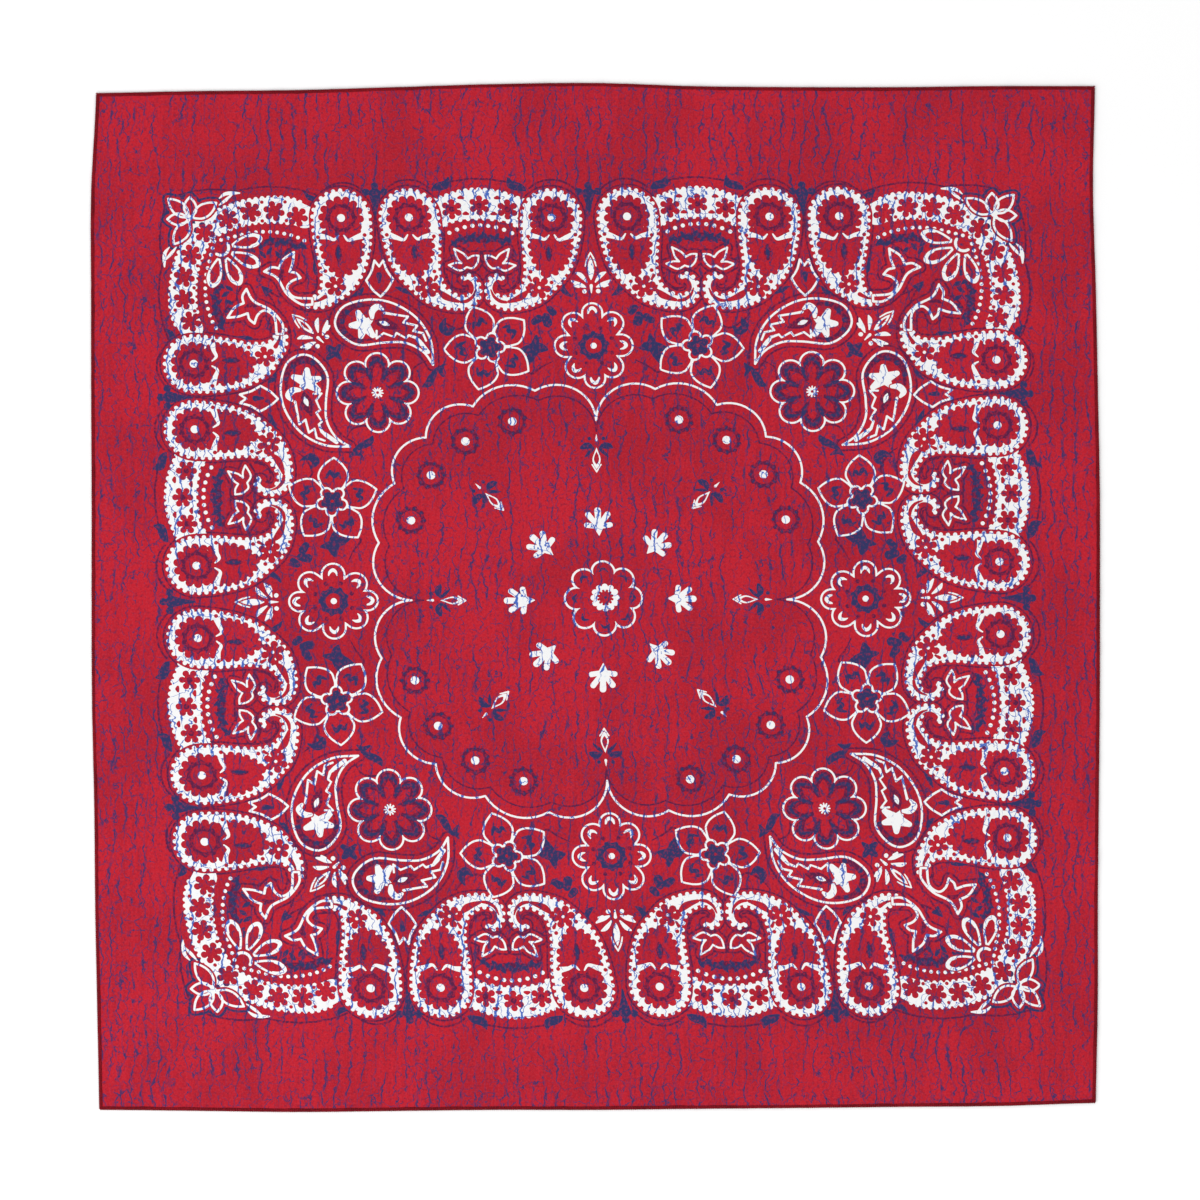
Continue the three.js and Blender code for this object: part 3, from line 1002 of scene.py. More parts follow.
@dataclass(frozen=True)
class ClothForm:
    """How the cloth lies: four bowed edges, soft creases, and small puckers along its hems.

    The bows are how far each edge stands out from the straight line between its corners, at equal
    steps from the left or near corner. The waves are how far the waves go in one radian.
    """

    near_left: tuple[float, float] = (-271.3, -280.1)
    near_right: tuple[float, float] = (273.5, -276.3)
    far_left: tuple[float, float] = (-273.0, 275.7)
    far_right: tuple[float, float] = (273.0, 279.5)
    near_bows: tuple[float, ...] = (0, 0.9, 1.9, 1.7, 1.5, 1.9, 1.7, 1.6, 1.4, 1.3, 0)
    far_bows: tuple[float, ...] = (0, 0.7, 0.9, 2.1, 3.4, 3.6, 1.5, 0.6, 0.2, 0.4, 0)
    left_bows: tuple[float, ...] = (0, 0.9, 1.8, 2.2, 3.2, 3.3, 3.1, 3.2, 3.1, 2.9, 0)
    right_bows: tuple[float, ...] = (0, 1.1, 1.2, 1.8, 2.4, 2.5, 2.5, 1.5, 0.4, -1.1, 0)
    thickness: float = 0.9
    least: float = 0.25
    half_size: tuple[float, float] = (275.0, 279.0)
    swell: float = 0.05
    swell_waves: tuple[float, float, float] = (31.0, 37.0, 47.0)
    swell_bend: float = 1.3
    swell_shift: float = 0.8
    pucker: float = 0.16
    pucker_reach: float = 9.0
    pucker_waves: tuple[float, float, float] = (2.9, 4.6, 23.0)
    pucker_drift: float = 1.7
    long_share: float = 0.7
    long_shift: float = 2.0
    creases: tuple[Crease, ...] = (
        Crease(5, 20, 89, 500, 26, 0.9),
        Crease(30, -112, 98, 170, 24, -0.4),
        Crease(22, 12, 1, 500, 22, 0.65),
        Crease(-214, -222, -42, 120, 22, -0.45),
        Crease(-238, -205, -50, 150, 30, 0.9),
        Crease(186, -163, 40, 130, 22, -0.45),
        Crease(214, -178, 38, 150, 24, 0.8),
        Crease(248, -150, 17, 90, 20, 0.6),
        Crease(71, 50, -48, 90, 22, -0.45),
        Crease(-44, -41, -28, 80, 22, -0.4),
        Crease(-41, 262, 2, 220, 26, 0.7),
        Crease(232, 226, -36, 130, 26, 0.6),
        Crease(-240, 60, 86, 200, 22, -0.4),
        Crease(-262, -60, 93, 150, 22, 0.5),
        Crease(120, -262, 4, 180, 24, 0.6),
    )

    def edge(self, side: Side, share: np.ndarray) -> np.ndarray:
        """Gives points of one edge: the straight line between its corners, bowed outwards.

        Args:
            side: which edge.
            share: shares of the way from its left or near corner.

        Returns:
            Rows of x and y.
        """
        start, end, bows, out = {
            Side.NEAR: (self.near_left, self.near_right, self.near_bows, (0, -1)),
            Side.FAR: (self.far_left, self.far_right, self.far_bows, (0, 1)),
            Side.LEFT: (self.near_left, self.far_left, self.left_bows, (-1, 0)),
            Side.RIGHT: (self.near_right, self.far_right, self.right_bows, (1, 0)),
        }[side]
        part = share[:, None]
        bow = smooth_rows([(value,) for value in bows], share * (len(bows) - 1))
        return np.array(start) * (1 - part) + np.array(end) * part + bow * np.array(out)

    def place(self, across: np.ndarray, along: np.ndarray) -> np.ndarray:
        """Gives points inside the edges: both pairs blended, less the corners that count twice.

        Args:
            across: shares of the way from left to right.
            along: shares of the way from near to far.

        Returns:
            Rows of x and y.
        """
        u, v = across[:, None], along[:, None]
        sides = self.edge(Side.LEFT, along) * (1 - u) + self.edge(Side.RIGHT, along) * u
        ends = self.edge(Side.NEAR, across) * (1 - v) + self.edge(Side.FAR, across) * v
        near = np.array(self.near_left) * (1 - u) + np.array(self.near_right) * u
        far = np.array(self.far_left) * (1 - u) + np.array(self.far_right) * u
        return sides + ends - near * (1 - v) - far * v

    def middle(self) -> np.ndarray:
        """Finds the middle of the edges' box, which lies over the origin.

        Returns:
            Its x and y.
        """
        share = np.linspace(0, 1, 101)
        points = np.vstack([self.edge(side, share) for side in Side])
        return (points.min(axis=0) + points.max(axis=0)) / 2

    def height(self, places: np.ndarray) -> np.ndarray:
        """Gives the upper side's height: the thickness, every crease, a faint swell and the puckers.

        The swell is the product of two sine waves, one of them bent by a third. The puckers are two
        sine waves along an edge that die away as exp(-distance / reach).

        Args:
            places: rows of x and y.

        Returns:
            Millimetres over the floor at each place.
        """
        x, y = places.T
        height = self.thickness + sum(crease.height(x, y) for crease in self.creases)
        first, second, bend = self.swell_waves
        swell = self.swell * np.sin(x / first + self.swell_bend * np.sin(y / bend))
        height = height + swell * np.sin(y / second + self.swell_shift)
        short, long, drift = self.pucker_waves
        for half, out, way in zip(self.half_size, (x, y), (y, x)):
            wave = np.sin(way / short + self.pucker_drift * np.sin(way / drift))
            wave = wave + self.long_share * np.sin(way / long + self.long_shift)
            fading = np.exp(-np.maximum(half - np.abs(out), 0) / self.pucker_reach)
            height = height + self.pucker * wave * fading
        return np.maximum(height, self.least)

    def normals(self, places: np.ndarray, step: float = 0.6) -> np.ndarray:
        """Gives upward normals: minus the height's slope each way, and one up.

        Args:
            places: rows of x and y.
            step: how far to each side the slope is read.

        Returns:
            Rows of x, y and z, of length one.
        """
        falls = [self.height(places - move) - self.height(places + move) for move in np.eye(2) * step]
        rows = np.column_stack([*falls, np.full(len(places), 2 * step)])
        return rows / np.linalg.norm(rows, axis=1, keepdims=True)


@dataclass(frozen=True)
class PrintLay:
    """How the plan of the print lies on the cloth, which was pulled a little out of true."""

    scale: float = 218.6
    centre: tuple[float, float] = (2.55, -1.29)
    across: float = 223.13
    along: float = 214.1
    lean: float = -6.07
    lean_at_ends: float = -3.24
    lean_at_sides: float = 2.46
    bow_across: float = -0.92
    bow_along: float = 3.04
    rise: float = 1.10
    sink: float = -1.31
    flower_slip: tuple[float, float] = (2.6, 1.3)
    flower_reach: float = 30.0
    wobble: float = 0.3
    wobble_waves: tuple[float, float, float] = (19.0, 27.0, 23.0)
    wobble_shift: float = 2.0

    def to_cloth(self, plan: np.ndarray) -> np.ndarray:
        """Lays places of the plan on the cloth.

        It is a stretch, a lean that grows to the ends, small bows, a slip of the middle flower that
        dies away as exp(-(distance / reach) squared), and a wobble of sine waves.

        Args:
            plan: rows of a and b.

        Returns:
            Rows of x and y.
        """
        u, v = plan.T / self.scale
        x = self.centre[0] + self.across * u + self.lean * v
        x = x + self.bow_across * u**2 + self.bow_along * v**2
        x = x + self.lean_at_sides * u**2 * v + self.lean_at_ends * v**3
        y = self.centre[1] + self.rise * u + self.along * v + self.sink * v**2
        slip = np.exp(-(plan**2).sum(axis=1) / self.flower_reach**2)[:, None]
        a, b = plan.T
        first, second, third = self.wobble_waves
        sideways = np.sin(b / first + self.wobble_shift) * np.cos(a / second)
        wobble = np.column_stack([sideways, np.sin(a / third)])
        return np.column_stack([x, y]) + slip * self.flower_slip + self.wobble * wobble


@dataclass(frozen=True)
class Contour:
    """Linked points along the edges of an ink. A link is -1 where the line ends at the plan's edge."""

    points: np.ndarray
    after: np.ndarray
    before: np.ndarray

    @classmethod
    def traced(cls, depth: np.ndarray, cell: float) -> "Contour":
        """Follows the zero line of distances over the eighth where b is over a.

        Each grid square is halved along the diagonal. A half whose corners differ in sign is crossed
        once, from the side that leaves the ink, going round it anticlockwise, to the side that
        enters it, and a crossing lies where the distance falls to zero along its side.

        Args:
            depth: distances to the ink's edge on the grid.
            cell: the size of a grid square.

        Returns:
            The contour.
        """
        count = depth.shape[0]
        node = np.arange(count * count).reshape(count, count)
        flat = depth.ravel() + HAIR**2
        i, j = np.meshgrid(np.arange(count - 1), np.arange(count - 1), indexing="ij")
        a, b, c, d = node[:-1, :-1], node[1:, :-1], node[1:, 1:], node[:-1, 1:]
        halves = (
            (j >= i, (a, c, d), (3 * a + 2, 3 * d, 3 * a + 1)),
            (j > i, (a, b, c), (3 * a, 3 * b + 1, 3 * a + 2)),
        )
        starts, ends = [], []
        for used, corners, keys in halves:
            corner = np.stack([part[used] for part in corners])
            key = np.stack([part[used] for part in keys])
            inside = flat[corner] < 0
            mixed = inside.any(axis=0) & ~inside.all(axis=0)
            inside, key = inside[:, mixed], key[:, mixed]
            leaves = inside & ~np.roll(inside, -1, axis=0)
            enters = ~inside & np.roll(inside, -1, axis=0)
            column = np.arange(inside.shape[1])
            starts.append(key[leaves.argmax(axis=0), column])
            ends.append(key[enters.argmax(axis=0), column])
        start, end = np.concatenate(starts), np.concatenate(ends)
        keys = np.unique(np.concatenate([start, end]))
        after = np.full(len(keys), -1)
        before = np.full(len(keys), -1)
        after[np.searchsorted(keys, start)] = np.searchsorted(keys, end)
        before[np.searchsorted(keys, end)] = np.searchsorted(keys, start)
        low, kind = keys // 3, keys % 3
        step = np.array([(1, 0), (0, 1), (1, 1)])[kind]
        high = low + step[:, 0] * count + step[:, 1]
        share = flat[low] / (flat[low] - flat[high])
        points = (np.column_stack([low // count, low % count]) + step * share[:, None]) * cell
        return cls(points, after, before)

    def thinned(self, tolerance: float, longest: float, rounds: int = 40) -> "Contour":
        """Drops points that lie within a tolerance of the line without them.

        In each round a point goes where its distance from the chord of its neighbours, with what was
        lost beside it before, is under the tolerance and less than at both neighbours.

        Args:
            tolerance: the most that the line may move.
            longest: the longest chord.
            rounds: how many rounds.

        Returns:
            The thinner contour, with its points numbered anew.
        """
        after, before = self.after.copy(), self.before.copy()
        alive = np.ones(len(self.points), bool)
        slack = np.zeros(len(self.points))
        jitter = (np.arange(len(self.points)) * GOLDEN) % 1 * (HAIR / 10)
        for _ in range(rounds):
            own = np.flatnonzero(alive & (after >= 0) & (before >= 0))
            left, right = before[own], after[own]
            chord = self.points[right] - self.points[left]
            length = np.maximum(np.hypot(*chord.T), TINY)
            off = self.points[own] - self.points[left]
            cost = np.abs(chord[:, 0] * off[:, 1] - chord[:, 1] * off[:, 0]) / length
            cost += slack[own] + jitter[own]
            cost[(length > longest) | (after[right] == left) | (right == left)] = FAR
            price = np.full(len(self.points), FAR)
            price[own] = cost
            goes = (cost < tolerance) & (cost < price[left]) & (cost < price[right])
            gone, left, right = own[goes], left[goes], right[goes]
            if not len(gone):
                break
            slack[left] = np.maximum(slack[left], cost[goes])
            slack[right] = np.maximum(slack[right], cost[goes])
            after[left], before[right] = right, left
            alive[gone] = False
        number = np.cumsum(alive) - 1
        after = np.where(after[alive] < 0, -1, number[after[alive]])
        before = np.where(before[alive] < 0, -1, number[before[alive]])
        return Contour(self.points[alive], after, before)


def triangulated(points: np.ndarray, edges: np.ndarray) -> tuple[np.ndarray, np.ndarray]:
    """The points and the anticlockwise triangles of a net through points, with given edges kept."""
    made = delaunay_2d_cdt([Vector(point) for point in points], edges.tolist(), [], 0, HAIR / 10, False)
    return np.array([tuple(point) for point in made[0]]), np.array(made[2])


@dataclass(frozen=True)
class PrintedEighth:
    """One eighth of the print's plan as triangles, each in one ink.

    Attributes:
        reach: how far the plan reaches from its middle.
        tolerance: how far a white edge may be simplified.
        loose: the same for the other inks.
        longest: the longest side of a contour.
        border_step: the step from point to point along the eighth's sides.
        lattice: the step from point to point in open ground.
        clearance: how far those points stay from edges.
        end_gap: how far the even points of a side stay from a contour's end.
    """

    reach: float
    tolerance: float = 0.075
    loose: float = 0.13
    longest: float = 8.0
    border_step: float = 4.0
    lattice: float = 6.5
    clearance: float = 1.4
    end_gap: float = 1.0

    def border(self, ends: np.ndarray) -> tuple[np.ndarray, np.ndarray]:
        """Runs a line round the eighth, through the contours' ends that lie on it.

        Args:
            ends: rows of a and b.

        Returns:
            The line's points, and its edges as pairs of point numbers.
        """
        reach = self.reach
        corners = np.array([(0, 0), (0, reach), (reach, reach)], float)
        points, edges = [], []
        for start, end in ((0, 1), (1, 2), (2, 0)):
            way = corners[end] - corners[start]
            length = np.hypot(*way)
            way /= length
            off = ends - corners[start]
            on_side = np.abs(off[:, 0] * way[1] - off[:, 1] * way[0]) < HAIR
            own = off[on_side] @ way
            even = np.linspace(0, length, round(length / self.border_step) + 1)[:-1]
            clear = np.abs(even[:, None] - own[None, :]).min(axis=1, initial=FAR) > self.end_gap
            clear[0] = True
            share = np.unique(np.concatenate([even[clear], own]).round(5))
            first = sum(map(len, points))
            points.append(corners[start] + share[:, None] * way)
            edges.append(first + np.arange(len(share)))
        loop = np.concatenate(edges)
        return np.vstack(points), np.column_stack([loop, np.roll(loop, -1)])

    def straightened(self, places: np.ndarray) -> np.ndarray:
        """Puts the points that are within a few hairs of the eighth's sides exactly on them.

        Args:
            places: rows of a and b.

        Returns:
            The places, moved.
        """
        a, b = places.T
        a = np.where(np.abs(a) < 2 * HAIR, 0, a)
        a = np.where(np.abs(a - b) < 3 * HAIR, b, a)
        return np.column_stack([a, np.where(b > self.reach - 2 * HAIR, self.reach, b)])

    def open_ground(self, plate: InkField) -> np.ndarray:
        """Lays a lattice of even triangles over the ground that is clear of every edge.

        Args:
            plate: the inks.

        Returns:
            The lattice's points.
        """
        rows = np.arange(0, self.reach, self.lattice * math.sqrt(3) / 2)
        b, a = np.meshgrid(rows, np.arange(0, self.reach, self.lattice), indexing="ij")
        a = a + (np.arange(len(rows)) % 2)[:, None] * self.lattice / 2
        mesh = np.column_stack([a.ravel(), b.ravel()])
        clear = (mesh[:, 0] > self.clearance) & (mesh[:, 1] - mesh[:, 0] > self.clearance * math.sqrt(2))
        mesh = mesh[clear & (mesh[:, 1] < self.reach - self.clearance)]
        return mesh[np.min([np.abs(plate.read(ink, mesh)) for ink in INKS], axis=0) > self.clearance]

    def built(self, plate: InkField) -> tuple[np.ndarray, np.ndarray, np.ndarray]:
        """Cuts the inks' edges into the eighth.

        Args:
            plate: the inks.

        Returns:
            Plan points, triangles, and the ink of each triangle as its place in Ink.
        """
        points, edges, ends = [], [], []
        first = 0
        for ink in INKS:
            tolerance = self.tolerance if ink is Ink.WHITE else self.loose
            line = Contour.traced(
                plate.depth[ink].astype(float), plate.cell
            ).thinned(tolerance, self.longest)
            linked = np.flatnonzero(line.after >= 0)
            points.append(line.points)
            edges.append(first + np.column_stack([linked, line.after[linked]]))
            ends.append(line.points[(line.after < 0) | (line.before < 0)])
            first += len(line.points)
        border, border_edges = self.border(np.vstack(ends))
        net = np.vstack([*points, border, self.open_ground(plate)])
        places, triangles = triangulated(net, np.vstack([*edges, first + border_edges]))
        places = self.straightened(places)
        middles = places[triangles].mean(axis=1)
        inside = np.array([plate.read(ink, middles) for ink in INKS]) < 0
        colour = np.where(inside.any(axis=0), inside.argmax(axis=0), len(INKS))
        return places, triangles, colour


def whole_plan(
    places: np.ndarray, triangles: np.ndarray, colour: np.ndarray
) -> tuple[np.ndarray, np.ndarray, np.ndarray]:
    """Turns and mirrors one eighth into the whole plan, and joins the points that meet.

    Args:
        places: the eighth's points.
        triangles: its triangles.
        colour: the ink of each triangle.

    Returns:
        The same three for the whole plan.
    """
    points, faces, colours = [], [], []
    for swap in (False, True):
        for a_sign in (1, -1):
            for b_sign in (1, -1):
                image = (places[:, ::-1] if swap else places) * (a_sign, b_sign)
                turned_over = (a_sign * b_sign < 0) != swap
                faces.append((triangles[:, ::-1] if turned_over else triangles) + len(points) * len(places))
                points.append(image)
                colours.append(colour)
    rounded, first, number = np.unique(
        np.vstack(points).round(3) + 0.0, axis=0, return_index=True, return_inverse=True
    )
    joined = number.ravel()[np.vstack(faces)]
    whole = (joined[:, 0] != joined[:, 1]) & (joined[:, 1] != joined[:, 2]) & (joined[:, 2] != joined[:, 0])
    return np.vstack(points)[first], joined[whole], np.concatenate(colours)[whole]


class Wire:
    """A shader socket that carries a number and can stand in a Python expression."""

    def __init__(self, graph: "Graph", socket: Union[bpy.types.NodeSocket, None]) -> None:
        """Keeps the socket and the graph that it is in."""
        self.graph = graph
        self.socket = socket

    def maths(self, operation: str, *values: Value) -> "Wire":
        """A Math node on this and other values."""
        return self.graph.node("ShaderNodeMath", {"operation": operation}, dict(enumerate((self, *values))))

    def __add__(self, other: Value) -> "Wire":
        """This plus another."""
        return self.maths("ADD", other)

    __radd__ = __add__

    def __sub__(self, other: Value) -> "Wire":
        """This less another."""
        return self.maths("SUBTRACT", other)

    def __rsub__(self, other: Value) -> "Wire":
        """Another less this."""
        return self.maths("MULTIPLY", -1.0).maths("ADD", other)

    def __mul__(self, other: Value) -> "Wire":
        """This times another."""
        return self.maths("MULTIPLY", other)

    __rmul__ = __mul__

    def __truediv__(self, other: Value) -> "Wire":
        """This over another."""
        return self.maths("DIVIDE", other)

    def __rtruediv__(self, other: Value) -> "Wire":
        """Another over this."""
        return self.maths("POWER", -1.0).maths("MULTIPLY", other)

    def __abs__(self) -> "Wire":
        """This without its sign."""
        return self.maths("ABSOLUTE")


class Graph:
    """The node tree of one material."""

    def __init__(self, name: str) -> None:
        """Makes the material with an empty tree.

        Args:
            name: the material's name.
        """
        self.material = bpy.data.materials.new(name)
        self.material.use_nodes = True
        self.tree = self.material.node_tree
        self.tree.nodes.clear()

    def node(
        self,
        kind: str,
        settings: Mapping[str, object],
        inputs: Mapping[Union[int, str], Value],
        out: Union[int, str] = 0,
    ) -> Wire:
        """Adds a node.

        Args:
            kind: the node's type.
            settings: its settings, which are set first.
            inputs: the value or link of each of its sockets, by number or name.
            out: which output is wanted.

        Returns:
            The wanted output, or an empty wire from a node that has none.
        """
        node = self.tree.nodes.new(kind)
        for name, value in settings.items():
            setattr(node, name, value)
        for key, value in inputs.items():
            if isinstance(value, Wire):
                self.tree.links.new(value.socket, node.inputs[key])
            else:
                node.inputs[key].default_value = value
        return Wire(self, node.outputs[out] if node.outputs else None)

    def ramp(self, value: Wire, low: float, high: float) -> Wire:
        """Smooth steps from 0 at low to 1 at high."""
        levels = {"Value": value, "From Min": low, "From Max": high}
        return self.node("ShaderNodeMapRange", {"interpolation_type": "SMOOTHSTEP"}, levels)

    def mix(self, share: Value, first: Value, second: Value) -> Wire:
        """A colour between two colours."""
        return self.node("ShaderNodeMix", {"data_type": "RGBA"}, {0: share, 6: first, 7: second}, 2)

    def object_place(self) -> Wire:
        """The place on the object, in metres."""
        return self.node("ShaderNodeTexCoord", {}, {}, "Object")

    def bump(self, strength: float, distance: float, height: Wire) -> Wire:
        """A normal bent by a height."""
        return self.node(
            "ShaderNodeBump", {}, {"Strength": strength, "Distance": distance, "Height": height}, "Normal"
        )

    def surface(self, fixed: Mapping[str, Value], wired: Mapping[str, Value]) -> bpy.types.Material:
        """Ends the tree in a surface shader.

        Args:
            fixed: constants of the shader's own sockets.
            wired: wires and colours for others of its sockets.

        Returns:
            The finished material.
        """
        shader = self.node("ShaderNodeBsdfPrincipled", {}, {**fixed, **wired})
        self.node("ShaderNodeOutputMaterial", {}, {"Surface": shader})
        return self.material


def srgb(red: float, green: float, blue: float) -> tuple[float, float, float, float]:
    """Turns screen values into a linear colour: a short straight line, then ((v + 0.055) / 1.055) to the 2.4.

    Args:
        red: 0 to 255.
        green: 0 to 255.
        blue: 0 to 255.

    Returns:
        Red, green, blue and 1, each 0 to 1.
    """
    values = [v / 255 for v in (red, green, blue)]
    linear = [v / 12.92 if v <= 0.04045 else ((v + 0.055) / 1.055) ** 2.4 for v in values]
    return (*linear, 1.0)


@dataclass(frozen=True)
class Mottle:
    """Noise on the cloth, and the two levels between which it fades in.

    Attributes:
        waves: waves a metre along X and Y.
        detail: how many finer layers it has.
        seed: where it is read.
        low: the level at which it is 0.
        high: the level at which it is 1.
    """

    waves: tuple[float, float]
    detail: float
    seed: float
    low: float = 0.0
    high: float = 1.0

    def read(self, graph: Graph, place: Wire) -> Wire:
        """Adds the noise, read at a scaled and shifted place.

        Args:
            graph: the graph that it is added to.
            place: the place in metres.

        Returns:
            The noise, 0 to 1.
        """
        sockets = {"Vector": place, "Scale": (*self.waves, 1), "Location": (self.seed, -self.seed, 0)}
        at = graph.node("ShaderNodeMapping", {"vector_type": "POINT"}, sockets)
        detail = {"Vector": at, "Scale": 1.0, "Detail": self.detail}
        return graph.node("ShaderNodeTexNoise", {"noise_dimensions": "2D"}, detail)

    def faded(self, graph: Graph, place: Wire) -> Wire:
        """The noise as smooth steps from its low level to its high one."""
        return graph.ramp(self.read(graph, place), self.low, self.high)


@dataclass(frozen=True)
class Cracks:
    """One family of wandering cracks in the dye.

    Attributes:
        axis: the axis that the cracks lie across.
        pitch: metres from crack to crack.
        wander: how far they wander, in pitches.
        waves: waves a metre of the wandering along X and Y.
        sparse: the level of fading noise over which a crack opens.
        seed: where the noises are read.
        widest: half of the width of the widest crack, in metres.
        opening: metres of half width for each unit of fading noise.
        jag: how far a crack's jags reach, in pitches.
        patches: how much more some parts of the cloth are cracked than others.
        jag_waves: waves a metre of the jags.
        patch_waves: waves a metre from a more cracked part to the next.
        fading_waves: waves a metre of the fading noise.
    """

    axis: str
    pitch: float
    wander: float
    waves: tuple[float, float]
    sparse: float
    seed: float
    widest: float = 0.00042
    opening: float = 0.0045
    jag: float = 0.42
    patches: float = 0.3
    jag_waves: tuple[float, float] = (330, 330)
    patch_waves: tuple[float, float] = (13, 11)
    fading_waves: tuple[float, float] = (78, 34)

    def depth(self, graph: Graph, place: Wire, split: Mapping[str, Wire]) -> Wire:
        """Measures how deep a place is inside a crack.

        The cracks lie where (place / pitch + wander x noise) is half past a whole number. A crack's
        half width is opening x (fading noise - sparse), and never more than the widest.

        Args:
            graph: the graph that it is added to.
            place: the place in metres.
            split: its X and Y.

        Returns:
            Metres inside a crack's edge, below zero outside it.
        """
        drift = Mottle(self.waves, 3.0, self.seed).read(graph, place) * self.wander
        jag = Mottle(self.jag_waves, 2.0, self.seed + 7).read(graph, place) * self.jag
        count = split[self.axis] / self.pitch + drift + jag
        away = abs(count.maths("FRACT") - 0.5) * self.pitch
        broad = (Mottle(self.patch_waves, 1.0, self.seed + 29).read(graph, place) - 0.5) * self.patches
        fading = Mottle(self.fading_waves, 3.0, self.seed + 19).read(graph, place) + broad - self.sparse
        return (fading * self.opening).maths("MINIMUM", self.widest) - away


